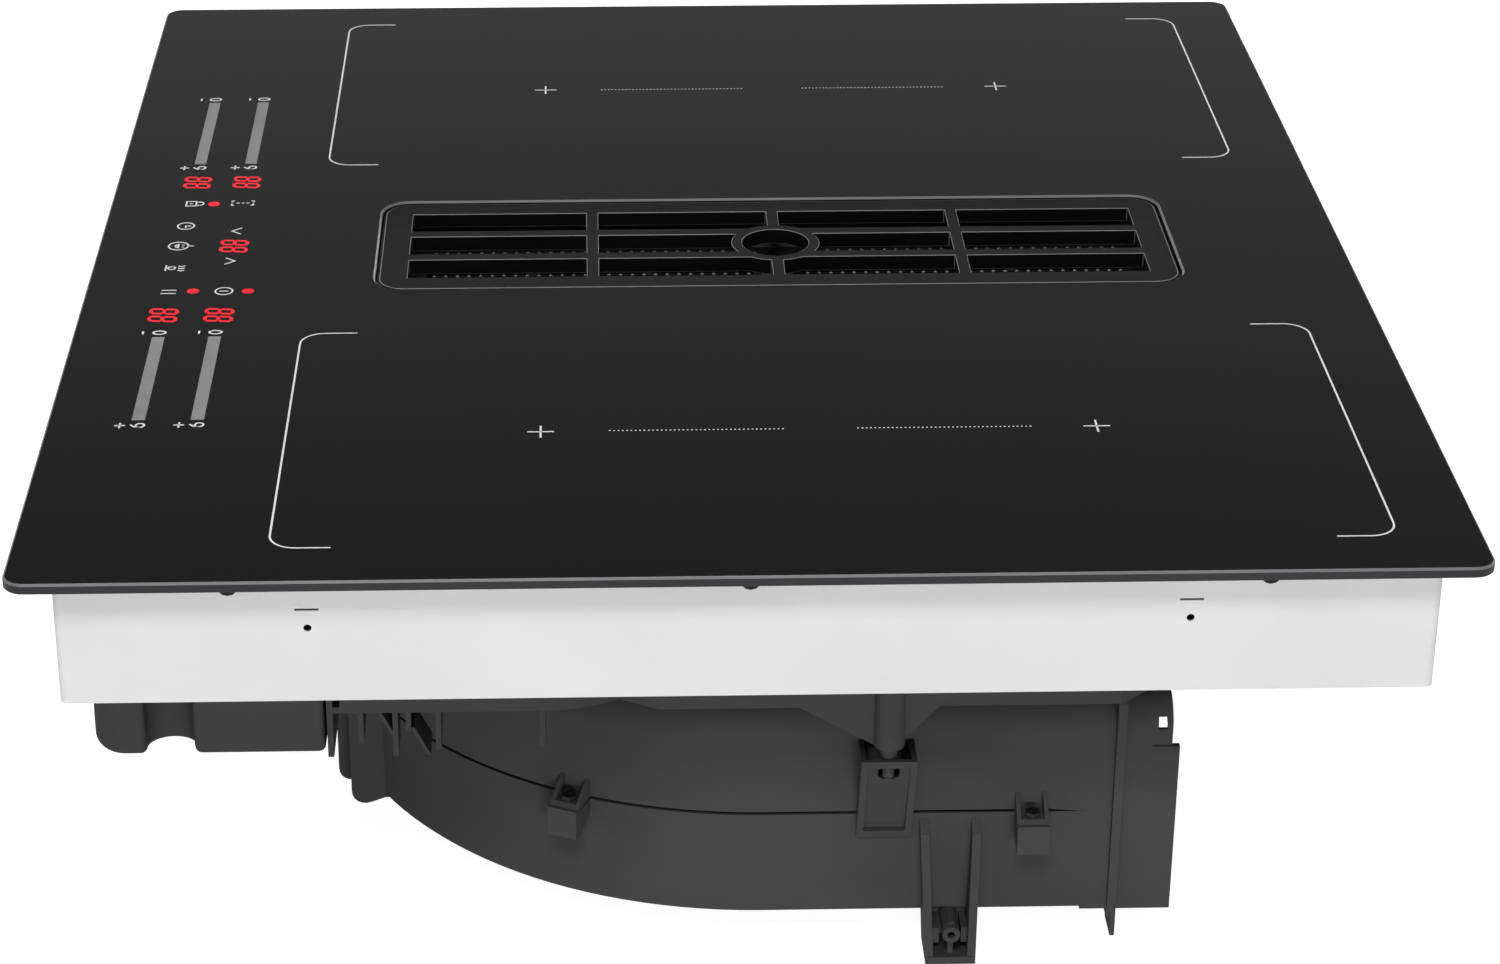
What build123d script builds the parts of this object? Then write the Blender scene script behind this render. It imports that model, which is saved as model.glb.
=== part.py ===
# Downdraft induction cooktop, 60 cm class, with a centrifugal blower under its housing.
# X runs from the user's left to right, Y from front to back, Z up.
# The origin is at the middle of the worktop seat: the underside of the foam seal.
# All sizes are in millimetres.

import os
from math import atan2, cos, radians, sin, sqrt

from build123d import *

os.makedirs("parts", exist_ok=True)

# ---------------------------------------------------------------------------
# Driving dimensions
# ---------------------------------------------------------------------------

# glass ceramic top and its seal
glass_x = 590.0
glass_y = 520.0
glass_t = 4.0
glass_r = 8.0
glass_chamfer = 0.8
seal_t = 2.0
seal_w = 7.0
seal_inset = 4.5

# sheet-metal housing pan
overhang = 15.0
pan_h = 52.2
pan_r = 3.0
sheet = 1.0
pan_lip = 9.0

# intake opening in the glass
vent_x = 92.0
vent_y = 332.0
vent_cy = 23.0
vent_r = 12.0

# intake grille
grille_gap = 1.0
grille_sink = 0.8
grille_t = 6.0
grille_side = 11.5
grille_end = 12.2
grille_bar = 6.0
grille_bar_h = 10.0
grille_cross = 5.0
grille_cross_pitch = 76.6
grille_ring_r = 18.5
grille_ring_hole_r = 14.0

# collar bonded under the glass opening, and the air well below it
collar_flange = 12.0
collar_flange_t = 1.5
collar_wall = 2.0
collar_ledge = 5.0
collar_ledge_t = 2.5
well_wall = 2.5
fit_gap = 0.5
well_ledge = 5.0
well_ledge_t = 2.5
well_skirt = 4.0

# grease filter
filter_drop = 20.0
filter_h = 24.0
filter_gap = 1.5
filter_rim = 2.0
filter_frame_w = 5.0
filter_plate_t = 1.0
filter_grip_x = 26.0
filter_grip_y = 12.0
filter_grip_h = 6.0
filter_grip_t = 3.0
slot_web = 5.0
slot_column_count = 5
slot_row_count = 3

# cooking zones: two coils a side
zone_x = 179.5
zone_y_front = -74.2
zone_y_rear = 134.5
coil_x = 176.0
coil_y = 190.0
coil_hole_x = 48.0
coil_hole_y = 60.0
coil_r = 34.0
coil_t = 5.0
mica_t = 0.5
former_t = 1.5
ferrite_t = 4.0
ferrite_w = 14.0
ferrite_l = 56.0
sensor_r = 6.0
tray_t = 1.5
tray_margin = 8.0
post_r = 4.0
post_inset = 9.0

# power electronics
board_t = 1.6
board_lift = 6.0
board_x = 168.0
board_y = 236.0
board_cy = 12.0
standoff_r = 3.5
standoff_inset = 7.0
sink_x = 46.0
sink_y = 150.0
sink_h = 24.0
sink_base = 5.0
fin_t = 1.8
fin_count = 7
cap_x = 32.0
cap_y = 18.0
cap_h = 22.0
cap_pitch = 24.0
cap_count = 3
choke_x = 34.0
choke_h = 20.0
board_edge = 8.0

# electronics cooling fans
fan_size = 80.0
fan_h = 25.0
fan_x = 205.0
fan_y = 190.0
fan_bore_r = 37.5
fan_tip_gap = 1.5
fan_hub_r = 17.0
fan_blade_count = 7
fan_blade_t = 1.4
fan_blade_turn = 40.0
fan_blade_root = 2.0
fan_arm_w = 4.0
fan_rotor_gap = 0.5
spider_t = 3.0
fan_pin_r = 2.0
grid_pitch = 8.0
grid_slot = 3.0
grid_count = 8
grid_l = 60.0
outlet_cx = 200.0
outlet_drop = 32.0
outlet_slot_h = 20.0
outlet_count = 9

# mains filter board, terminal block and cable gland
mains_x = 84.0
mains_y = 66.0
mains_cx = -108.0
mains_cy = 188.0
terminal_x = 44.0
terminal_y = 18.0
terminal_h = 16.0
terminal_count = 5
terminal_slot = 4.5
gland_r = 11.0
gland_bore_r = 6.0
gland_nut_r = 14.5
gland_nut_t = 5.0
gland_l = 12.0
gland_thread_r = 8.5
gland_drop = 2.0

# touch control strip
control_x = 372.0
control_y = 48.0
control_cy = -214.5
control_board_t = 1.6
display_t = 5.0
display_x = 15.0
display_y = 12.5
holder_t = 2.0
holder_leg_r = 3.0
key_r = 3.2
control_row_front = -225.5
control_row_rear = -203.6
display_col = 70.0
front_keys = (-46.0, -21.6, 0.0, 22.8, 47.0)
rear_keys = (-46.0, -16.0, 16.0, 46.7)
slider_cx = 128.5
slider_l = 75.0
slider_w = 5.0

# base casing: the plenum under the pan
casing_h = 35.2
casing_wall = 2.5
casing_near = 229.5
casing_far = -122.0
casing_front = -150.0
casing_rear = 200.0
casing_round_y = -75.0
casing_waist_y = -46.0
casing_waist = 8.0
casing_shoulder_y = -31.0
casing_side_rear = 142.0
weir_h = 12.0
weir_t = 3.0
casing_step_x = 186.0
casing_tail_x = 104.0
casing_cut = 50.0
skirt_x = 70.0
skirt_out = 4.9
skirt_t = 2.2
skirt_drop = 18.8
rib_x = 16.0
rib_t = 2.0
near_ribs = ((-142.4, 13.0), (-129.5, 18.8), (-124.6, 8.0), (-113.5, 16.4), (-74.7, 15.3))
brace_w = 1.4
near_braces = ((-135.9, 0.0, -130.8, 10.4), (-123.8, 6.5, -117.9, 18.3))
hanger_y = 55.0
hanger_web_front = 71.0
hanger_web_rear = 39.0
hanger_step = 2.5
gusset_rise = 23.4
gusset_t = 3.0
boss_r = 5.8
boss_drop = 14.6
boss_tip = 6.0
boss_tip_r = 4.0
boss_taper = 15.0
boss_pin_r = 2.3
boss_pin = 13.6

# overflow tank
tank_front = -242.7
tank_rear = -156.0
tank_far = 104.0
tank_drop = 19.2
tank_wall = 2.0
tank_r = 12.0
tank_foot_r = 7.0
tank_bowl_chamfer = 4.0
tank_groove_y = -213.8
tank_groove_r = 9.0
tank_groove_in = 6.5
tank_gap = 0.6
spout_x = 30.0
spout_h = 14.0
spout_l = 14.0
spout_t = 2.0
spout_cx = 140.0
spout_run = 3.5
runner_w = 4.0
runner_t = 2.0
runner_gap = 0.3

# blower scroll, drawn from four centres
scroll_gap = 5.6
scroll_h = 91.7
seam_drop = 47.2
scroll_near = 220.0
scroll_r = 171.0
scroll_cy = 9.0
scroll_step = 16.0
scroll_wall = 2.5
scroll_round = 14.0
bore_chamfer = 8.0
foot_chamfer = 2.0
duct_w = 222.0
collar_l = 34.9
flange_set = 12.0
flange_t = 3.4
flange_out = 3.0
fin_drop = 10.5
notch_drop = 19.0
notch_back = 2.9
notch_y = 7.6
notch_t = 0.8
window_y = 3.5
window_h = 4.9
inlet_r = 78.0
inlet_flare = 10.0
gasket_w = 6.0
ring_t = 2.0
drum_close = 0.3
tongue_r = 125.0
tongue_x = 24.0
clip_ys = (-62.6, 111.0)
clip_w = 12.0
clip_out = 13.0
clip_wall = 1.5
clip_h = 9.0
clip_lip = 1.2
clip_floor = 2.5
lug_h = 11.0
lug_heel = 5.0
pocket_y = 21.0
pocket_x = 17.0
pocket_wall = 2.0
pocket_cheek = 2.5
pocket_set = 0.7
pocket_drop = 14.0
pocket_lip = 2.8
pocket_depth = 9.6
pocket_plate_end = 3.2
pocket_cheek_end = 9.5
pocket_cheek_toe = 1.5
pocket_slot_w = 8.2
pocket_slot_h = 6.6
foot_y = 80.3
foot_w = 23.5
foot_w_low = 19.3
foot_lean = 0.8
buffer_spots = ((-60.0, -75.0), (-60.0, 75.0), (125.0, -95.0), (170.0, 60.0))
buffer_r = 8.0
foot_arm_t = 3.2
foot_rise = -2.2
foot_drop = 15.3
foot_out = 14.0
foot_knee = 5.6
foot_back = 4.5
foot_web_t = 1.8
foot_rib_w = 2.2
foot_rib_out = 11.0
foot_tab_out = 9.0
foot_tab_w = 5.4
foot_tab_h = 6.5
foot_boss_h = 13.3
foot_boss_r = 3.4
front_lugs = ((132.0, 13.7), (114.0, 11.2))
front_lug_t = 3.0
front_lug_r = 8.0
front_lug_drop = 5.1
fin_x = 14.0

# impeller and motor
wheel_r = 102.0
wheel_h = 64.0
wheel_gap = 5.0
blade_count = 36
blade_in_r = 84.0
blade_t = 1.2
wheel_plate_t = 2.0
hub_r = 50.0
hub_wall = 2.0
magnet_t = 3.0
stator_gap = 0.6
stator_r_in = 14.0
stator_h = 22.0
shaft_r = 4.0
shaft_play = 0.05
bearing_r = 8.0
bearing_h = 7.0
hub_h = 42.0
hub_round = 5.0
ring_w = 4.0
blade_sweep = 6.0
blade_bow = 0.35
can_t = 2.0
stator_lift = 6.0
stator_slot_count = 12
slot_depth = 18.0
stator_slot_w = 4.0
tube_rise = 3.0
shaft_foot = 4.0
shaft_nose = 5.0
shaft_clear = 1.0
base_r = 58.0
base_t = 3.0
board_ring_lift = 10.2

# small fasteners
screw_r = 1.5
screw_head_r = 3.0
screw_head_h = 2.0
screw_play = 0.1
side_hole_r = 1.45
side_hole_pitch = 312.0
side_hole_drop = 22.7
side_slot_l = 8.5
side_slot_h = 0.8
side_slot_drop = 15.3
button_r = 3.8
button_side_count = 12
button_t = 1.6
button_pitch = 183.2
button_drop = 4.8

# ---------------------------------------------------------------------------
# Levels and centres that follow from them
# ---------------------------------------------------------------------------

glass_low = seal_t
glass_top = seal_t + glass_t
pan_x = glass_x - 2 * overhang
pan_y = glass_y - 2 * overhang
pan_low = glass_low - pan_h
floor_z = pan_low + sheet
casing_low = pan_low - casing_h
casing_floor = casing_low + casing_wall
scroll_top = casing_low - scroll_gap
scroll_low = scroll_top - scroll_h
seam_z = scroll_top - seam_drop
inlet_ring_r = inlet_r + inlet_flare
outlet_z = glass_low - outlet_drop
gusset_top = casing_low + gusset_rise
boss_low = casing_low - boss_drop
pocket_top = scroll_top - pocket_drop
pocket_floor = pocket_top - pocket_depth
foot_top = seam_z + foot_rise
foot_low = scroll_low - foot_drop
front_lug_low = scroll_low - front_lug_drop

grille_x = vent_x - 2 * grille_gap
grille_y = vent_y - 2 * grille_gap
grille_top = glass_top - grille_sink
grille_seat = grille_top - grille_t

well_x = vent_x - 2 * collar_ledge
well_y = vent_y - 2 * collar_ledge
well_top = grille_seat - collar_ledge_t - fit_gap
filter_top = glass_top - filter_drop
filter_x = well_x - 2 * filter_gap
filter_y = well_y - 2 * filter_gap
filter_seat = filter_top - filter_rim

coil_top = glass_low - mica_t
former_top = coil_top - coil_t
ferrite_top = former_top - former_t
tray_top = ferrite_top - ferrite_t
tray_low = tray_top - tray_t
tray_y0 = zone_y_front - coil_y / 2 - tray_margin
tray_y1 = zone_y_rear + coil_y / 2 + tray_margin
tray_x = coil_x + 2 * tray_margin

board_low = floor_z + board_lift
board_top = board_low + board_t

duct_far = scroll_near - duct_w
c4 = (scroll_near - scroll_r, scroll_cy)
c3 = (c4[0], c4[1] - scroll_step)
r3 = scroll_r - scroll_step
c2 = (c3[0] - scroll_step, c3[1])
r2 = r3 - scroll_step
shell_end = c2[1] + r2
collar_end = shell_end + collar_l
flange_y = shell_end + flange_set
fan_axis = (c4[0] - scroll_step / 2, c4[1] - scroll_step / 2)

sides = (1, -1)
zones_y = (zone_y_front, zone_y_rear)


# ---------------------------------------------------------------------------
# Shared forms
# ---------------------------------------------------------------------------


def slab(x, y, low, high, cx=0.0, cy=0.0, r=0.0, mode=Mode.ADD):
    """A plate or block of x by y between two levels, its corners rounded by r."""
    with BuildSketch(Plane.XY.offset(low)) as outline:
        with Locations((cx, cy)):
            if r > 0:
                RectangleRounded(x, y, r)
            else:
                Rectangle(x, y)
    extrude(outline.sketch, amount=high - low, mode=mode)


def disc(r, low, high, cx=0.0, cy=0.0, mode=Mode.ADD):
    """A round post, disc or bore between two levels."""
    with BuildSketch(Plane.XY.offset(low)) as outline:
        with Locations((cx, cy)):
            Circle(r)
    extrude(outline.sketch, amount=high - low, mode=mode)


# ---------------------------------------------------------------------------
# Glass top
# ---------------------------------------------------------------------------

with BuildPart() as glass_panel:
    slab(glass_x, glass_y, glass_low, glass_top, r=glass_r)
    slab(vent_x, vent_y, glass_low, glass_top, cy=vent_cy, r=vent_r, mode=Mode.SUBTRACT)
    chamfer(glass_panel.faces().sort_by(Axis.Z)[-1].edges(), glass_chamfer)
glass_panel.part.label = "glass_panel"
export_step(glass_panel.part, "parts/glass_panel.step")

# foam tape that the glass rests on the worktop with
seal_x = glass_x - 2 * seal_inset
seal_y = glass_y - 2 * seal_inset
with BuildPart() as worktop_seal:
    slab(seal_x, seal_y, 0, seal_t, r=glass_r)
    slab(seal_x - 2 * seal_w, seal_y - 2 * seal_w, 0, seal_t, r=glass_r / 2, mode=Mode.SUBTRACT)
worktop_seal.part.label = "worktop_seal"
export_step(worktop_seal.part, "parts/worktop_seal.step")

# ---------------------------------------------------------------------------
# Intake: collar, grille, well and grease filter
# ---------------------------------------------------------------------------

collar_x = vent_x + 2 * collar_flange
collar_y = vent_y + 2 * collar_flange
collar_low = grille_seat - collar_ledge_t
with BuildPart() as vent_collar:
    slab(collar_x, collar_y, glass_low - collar_flange_t, glass_low, cy=vent_cy, r=vent_r + collar_flange)
    slab(
        vent_x + 2 * collar_wall,
        vent_y + 2 * collar_wall,
        collar_low,
        glass_low,
        cy=vent_cy,
        r=vent_r + collar_wall,
    )
    slab(vent_x, vent_y, grille_seat, glass_low, cy=vent_cy, r=vent_r, mode=Mode.SUBTRACT)
    slab(well_x, well_y, collar_low, grille_seat, cy=vent_cy, mode=Mode.SUBTRACT)
vent_collar.part.label = "vent_collar"
export_step(vent_collar.part, "parts/vent_collar.step")

# lift-out grille: a frame on the collar's ledge, two long bars, three cross bars and a finger ring
grille_in_x = grille_x - 2 * grille_side
grille_in_y = grille_y - 2 * grille_end
grille_row = (grille_in_x - 2 * grille_bar) / 3
bar_x = (grille_row + grille_bar) / 2
with BuildPart() as intake_grille:
    slab(grille_x, grille_y, grille_seat, grille_top, cy=vent_cy, r=vent_r - grille_gap)
    slab(grille_in_x, grille_in_y, grille_seat, grille_top, cy=vent_cy, mode=Mode.SUBTRACT)
    with BuildSketch(Plane.XY.offset(grille_top - grille_bar_h)):
        with Locations((-bar_x, vent_cy), (bar_x, vent_cy)):
            Rectangle(grille_bar, grille_in_y)
        with Locations(*[(0, vent_cy + k * grille_cross_pitch) for k in (-1, 0, 1)]):
            Rectangle(grille_in_x, grille_cross)
        with Locations((0, vent_cy)):
            Circle(grille_ring_r)
    extrude(amount=grille_bar_h)
    disc(grille_ring_hole_r, grille_top - grille_bar_h, grille_top, 0, vent_cy, mode=Mode.SUBTRACT)
    chamfer(intake_grille.faces().sort_by(Axis.Z)[-1].outer_wire().edges(), glass_chamfer)
intake_grille.part.label = "intake_grille"
export_step(intake_grille.part, "parts/intake_grille.step")

# air well: a shaft from the collar through the pan to the plenum, with a ledge for the filter
well_out_x = well_x + 2 * well_wall
well_out_y = well_y + 2 * well_wall
well_low = pan_low - well_skirt
with BuildPart() as air_well:
    slab(well_out_x, well_out_y, well_low, well_top, cy=vent_cy)
    # flange that sits on the pan's floor
    slab(
        well_out_x + 2 * well_ledge,
        well_out_y + 2 * well_ledge,
        floor_z,
        floor_z + well_wall,
        cy=vent_cy,
    )
    slab(well_x, well_y, filter_seat, well_top, cy=vent_cy, mode=Mode.SUBTRACT)
    slab(
        well_x - 2 * well_ledge,
        well_y - 2 * well_ledge,
        filter_seat - well_ledge_t,
        filter_seat,
        cy=vent_cy,
        mode=Mode.SUBTRACT,
    )
    slab(well_x, well_y, well_low, filter_seat - well_ledge_t, cy=vent_cy, mode=Mode.SUBTRACT)
air_well.part.label = "air_well"
export_step(air_well.part, "parts/air_well.step")

# grease filter: a rimmed tray, its slotted plates and a bridge grip in the middle
basket_x = well_x - 2 * well_ledge - 2 * filter_gap
basket_y = well_y - 2 * well_ledge - 2 * filter_gap
basket_low = filter_top - filter_h
with BuildPart() as filter_frame:
    slab(filter_x, filter_y, filter_seat, filter_top, cy=vent_cy)
    slab(basket_x, basket_y, basket_low, filter_top, cy=vent_cy)
    slab(
        basket_x - 2 * filter_frame_w,
        basket_y - 2 * filter_frame_w,
        basket_low,
        filter_top,
        cy=vent_cy,
        mode=Mode.SUBTRACT,
    )
filter_frame.part.label = "filter_frame"
export_step(filter_frame.part, "parts/filter_frame.step")

plate_x = basket_x - 2 * filter_frame_w
plate_y = basket_y - 2 * filter_frame_w


def slotted_plate(low, across, along):
    """A slotted plate that fills the tray, with a bare strip in the middle for the grip."""
    slab(plate_x, plate_y, low, low + filter_plate_t, cy=vent_cy)
    field_y = (plate_y - filter_grip_y) / 2
    pitch_y = field_y / along
    with BuildSketch(Plane.XY.offset(low)) as slots:
        for side in sides:
            with Locations((0, vent_cy + side * (field_y + filter_grip_y) / 2)):
                with GridLocations(plate_x / across, pitch_y, across, along):
                    Rectangle(plate_x / across - slot_web, pitch_y - slot_web)
    extrude(slots.sketch, amount=filter_plate_t, mode=Mode.SUBTRACT)


with BuildPart() as filter_plates:
    slotted_plate(filter_top - filter_plate_t, slot_column_count, slot_row_count)
    slotted_plate(basket_low, slot_column_count // 2, 1)
filter_plates.part.label = "filter_plates"
export_step(filter_plates.part, "parts/filter_plates.step")

with BuildPart() as filter_grip:
    slab(filter_grip_x, filter_grip_y, filter_top, filter_top + filter_grip_h, cy=vent_cy, r=filter_grip_t)
    with BuildSketch(Plane.XZ.offset(-vent_cy - filter_grip_y / 2)):
        with Locations((0, filter_top + (filter_grip_h - filter_grip_t) / 2)):
            Rectangle(filter_grip_x - 2 * filter_grip_t, filter_grip_h - filter_grip_t)
    extrude(amount=filter_grip_y, mode=Mode.SUBTRACT)
filter_grip.part.label = "filter_grip"
export_step(filter_grip.part, "parts/filter_grip.step")

# ---------------------------------------------------------------------------
# Housing pan
# ---------------------------------------------------------------------------

hole_z = glass_low - side_hole_drop
slot_z = glass_low - side_slot_drop
button_z = glass_low - button_drop
side_hole_y = side_hole_pitch / 2
gland_z = (floor_z + glass_low) / 2 - gland_drop
with BuildPart() as housing_pan:
    slab(pan_x, pan_y, pan_low, glass_low, r=pan_r)
    slab(pan_x - 2 * sheet, pan_y - 2 * sheet, floor_z, glass_low - sheet, r=pan_r - sheet, mode=Mode.SUBTRACT)
    slab(
        pan_x - 2 * pan_lip,
        pan_y - 2 * pan_lip,
        glass_low - sheet,
        glass_low,
        mode=Mode.SUBTRACT,
    )
    # the well's cut-out
    slab(
        well_x + 2 * (well_wall + fit_gap),
        well_y + 2 * (well_wall + fit_gap),
        pan_low,
        floor_z,
        cy=vent_cy,
        mode=Mode.SUBTRACT,
    )
    # clamp holes and slots in both side walls
    with BuildSketch(Plane.YZ.offset(-pan_x / 2)):
        with Locations((-side_hole_y, hole_z), (side_hole_y, hole_z)):
            Circle(side_hole_r)
        with Locations((-side_hole_y, slot_z), (side_hole_y, slot_z)):
            Rectangle(side_slot_l, side_slot_h)
    extrude(amount=pan_x, mode=Mode.SUBTRACT)
    # air inlets under the two cooling fans
    with BuildSketch(Plane.XY.offset(pan_low)):
        with Locations((-fan_x, fan_y), (fan_x, fan_y)):
            with GridLocations(0, grid_pitch, 1, grid_count):
                Rectangle(grid_l, grid_slot)
    extrude(amount=sheet, mode=Mode.SUBTRACT)
    # air outlets in the front wall
    with BuildSketch(Plane.XZ.offset(pan_y / 2 - sheet)):
        for side in sides:
            with Locations((side * outlet_cx, outlet_z)):
                with GridLocations(grid_pitch, 0, outlet_count, 1):
                    Rectangle(grid_slot, outlet_slot_h)
    extrude(amount=sheet, mode=Mode.SUBTRACT)
    # hole for the cable gland in the rear wall
    with BuildSketch(Plane.XZ.offset(-pan_y / 2)):
        with Locations((mains_cx, gland_z)):
            Circle(gland_thread_r + fit_gap)
    extrude(amount=sheet, mode=Mode.SUBTRACT)
housing_pan.part.label = "housing_pan"
export_step(housing_pan.part, "parts/housing_pan.step")

# round spacers on the side walls that centre the pan in the cut-out
with BuildPart() as edge_buttons:
    for side in sides:
        with BuildSketch(Plane.YZ.offset(side * pan_x / 2)):
            with Locations(*[(k * button_pitch, button_z) for k in (-1, 0, 1)]):
                RegularPolygon(button_r, button_side_count)
        extrude(amount=side * button_t)
edge_buttons.part.label = "edge_buttons"
export_step(edge_buttons.part, "parts/edge_buttons.step")

# ---------------------------------------------------------------------------
# Cooking zones: mica, coils, formers, ferrites, sensors and their trays
# ---------------------------------------------------------------------------

zone_spots = [(side * zone_x, y) for side in sides for y in zones_y]
coil_names = ("coil_front_right", "coil_rear_right", "coil_front_left", "coil_rear_left")

with BuildPart() as mica_sheets:
    for spot in zone_spots:
        slab(coil_x, coil_y, coil_top, glass_low, *spot)
mica_sheets.part.label = "mica_sheets"
export_step(mica_sheets.part, "parts/mica_sheets.step")

for coil_name, spot in zip(coil_names, zone_spots):
    with BuildPart() as coil:
        slab(coil_x, coil_y, former_top, coil_top, *spot, r=coil_r)
        slab(coil_hole_x, coil_hole_y, former_top, coil_top, *spot, mode=Mode.SUBTRACT)
    coil.part.label = coil_name
    export_step(coil.part, f"parts/{coil_name}.step")

with BuildPart() as coil_formers:
    for spot in zone_spots:
        slab(coil_x, coil_y, ferrite_top, former_top, *spot)
coil_formers.part.label = "coil_formers"
export_step(coil_formers.part, "parts/coil_formers.step")

with BuildPart() as ferrite_bars:
    with BuildSketch(Plane.XY.offset(tray_top)):
        with Locations(*zone_spots):
            with PolarLocations(coil_x / 2 - ferrite_l / 2, 8):
                Rectangle(ferrite_l, ferrite_w)
    extrude(amount=ferrite_t)
ferrite_bars.part.label = "ferrite_bars"
export_step(ferrite_bars.part, "parts/ferrite_bars.step")

with BuildPart() as zone_sensors:
    with BuildSketch(Plane.XY.offset(former_top)):
        with Locations(*zone_spots):
            RegularPolygon(sensor_r, 6)
    extrude(amount=coil_t)
zone_sensors.part.label = "zone_sensors"
export_step(zone_sensors.part, "parts/zone_sensors.step")

tray_y = tray_y1 - tray_y0
tray_cy = (tray_y0 + tray_y1) / 2
post_x = tray_x / 2 - post_inset
post_y = tray_y / 2 - post_inset
with BuildPart() as coil_trays:
    for side in sides:
        slab(tray_x, tray_y, tray_low, tray_top, side * zone_x, tray_cy)
    with BuildSketch(Plane.XY.offset(tray_low)):
        with Locations(*zone_spots):
            Rectangle(coil_hole_x, coil_hole_y)
    extrude(amount=tray_t, mode=Mode.SUBTRACT)
coil_trays.part.label = "coil_trays"
export_step(coil_trays.part, "parts/coil_trays.step")

with BuildPart() as tray_posts:
    with BuildSketch(Plane.XY.offset(floor_z)):
        for side in sides:
            with Locations((side * zone_x, tray_cy)):
                with GridLocations(2 * post_x, 2 * post_y, 2, 2):
                    RegularPolygon(post_r, 6)
    extrude(amount=tray_low - floor_z)
tray_posts.part.label = "tray_posts"
export_step(tray_posts.part, "parts/tray_posts.step")

# ---------------------------------------------------------------------------
# Power boards
# ---------------------------------------------------------------------------

sink_cx = zone_x + board_x / 2 - sink_x / 2 - board_edge
cap_cx = zone_x - board_x / 2 + choke_x / 2 + board_edge
fin_pitch = (sink_x - fin_t) / (fin_count - 1)
with BuildPart() as board_standoffs:
    with BuildSketch(Plane.XY.offset(floor_z)):
        for side in sides:
            with Locations((side * zone_x, board_cy)):
                with GridLocations(board_x - 2 * standoff_inset, board_y - 2 * standoff_inset, 2, 2):
                    RegularPolygon(standoff_r, 6)
    extrude(amount=board_lift)
board_standoffs.part.label = "board_standoffs"
export_step(board_standoffs.part, "parts/board_standoffs.step")

for side, hand in zip(sides, ("right", "left")):
    with BuildPart() as power_board:
        slab(board_x, board_y, board_low, board_top, side * zone_x, board_cy)
    power_board.part.label = f"power_board_{hand}"
    export_step(power_board.part, f"parts/power_board_{hand}.step")

    with BuildPart() as heat_sink:
        slab(sink_x, sink_y, board_top, board_top + sink_base, side * sink_cx, board_cy)
        with BuildSketch(Plane.XY.offset(board_top + sink_base)):
            with Locations((side * sink_cx, board_cy)):
                with GridLocations(fin_pitch, 0, fin_count, 1):
                    Rectangle(fin_t, sink_y)
        extrude(amount=sink_h - sink_base)
    heat_sink.part.label = f"heat_sink_{hand}"
    export_step(heat_sink.part, f"parts/heat_sink_{hand}.step")

with BuildPart() as capacitors:
    with BuildSketch(Plane.XY.offset(board_top)):
        with Locations((-cap_cx, board_cy), (cap_cx, board_cy)):
            with GridLocations(0, cap_pitch, 1, cap_count):
                Rectangle(cap_x, cap_y)
    extrude(amount=cap_h)
capacitors.part.label = "capacitors"
export_step(capacitors.part, "parts/capacitors.step")

with BuildPart() as filter_chokes:
    for side in sides:
        choke_y = board_cy - board_y / 2 + choke_x / 2 + board_edge
        slab(choke_x, choke_x, board_top, board_top + choke_h, side * cap_cx, choke_y)
filter_chokes.part.label = "filter_chokes"
export_step(filter_chokes.part, "parts/filter_chokes.step")

# ---------------------------------------------------------------------------
# Electronics cooling fans
# ---------------------------------------------------------------------------

spider_low = floor_z + fan_h - spider_t
rotor_low = floor_z + spider_t
rotor_top = spider_low - fan_rotor_gap
blade_reach = fan_bore_r - fan_tip_gap
with BuildPart() as fan_frames:
    for side in sides:
        spot = (side * fan_x, fan_y)
        slab(fan_size, fan_size, floor_z, floor_z + fan_h, *spot)
        disc(fan_bore_r, floor_z, floor_z + fan_h, *spot, mode=Mode.SUBTRACT)
        disc(fan_hub_r, spider_low, spider_low + spider_t, *spot)
        with BuildSketch(Plane.XY.offset(spider_low)):
            with Locations(spot):
                Rectangle(2 * fan_bore_r + fan_arm_w, fan_arm_w)
                Rectangle(fan_arm_w, 2 * fan_bore_r + fan_arm_w)
        extrude(amount=spider_t)
        disc(fan_pin_r, rotor_low, spider_low, *spot)
fan_frames.part.label = "fan_frames"
export_step(fan_frames.part, "parts/fan_frames.step")

for side, hand in zip(sides, ("right", "left")):
    spot = (side * fan_x, fan_y)
    with BuildPart() as fan_rotor:
        disc(fan_hub_r, rotor_low, rotor_top, *spot)
        with Locations((*spot, (rotor_low + rotor_top) / 2)):
            with PolarLocations((fan_hub_r + blade_reach - fan_blade_root) / 2, fan_blade_count):
                Box(
                    blade_reach - fan_hub_r + fan_blade_root,
                    rotor_top - rotor_low - fan_blade_root,
                    fan_blade_t,
                    rotation=(fan_blade_turn, 0, 0),
                )
        disc(fan_pin_r + shaft_play, rotor_low, rotor_top, *spot, mode=Mode.SUBTRACT)
    fan_rotor.part.label = f"fan_rotor_{hand}"
    export_step(fan_rotor.part, f"parts/fan_rotor_{hand}.step")

# ---------------------------------------------------------------------------
# Mains side: filter board, terminal block and cable gland
# ---------------------------------------------------------------------------

with BuildPart() as mains_board:
    slab(mains_x, mains_y, board_low, board_top, mains_cx, mains_cy)
    with BuildSketch(Plane.XY.offset(floor_z)):
        with Locations((mains_cx, mains_cy)):
            with GridLocations(mains_x - 2 * standoff_inset, mains_y - 2 * standoff_inset, 2, 2):
                RegularPolygon(standoff_r, 6)
    extrude(amount=board_lift)
    slab(choke_x, choke_x, board_top, board_top + choke_h, mains_cx, mains_cy - mains_y / 2 + choke_x / 2)
mains_board.part.label = "mains_board"
export_step(mains_board.part, "parts/mains_board.step")

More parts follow.
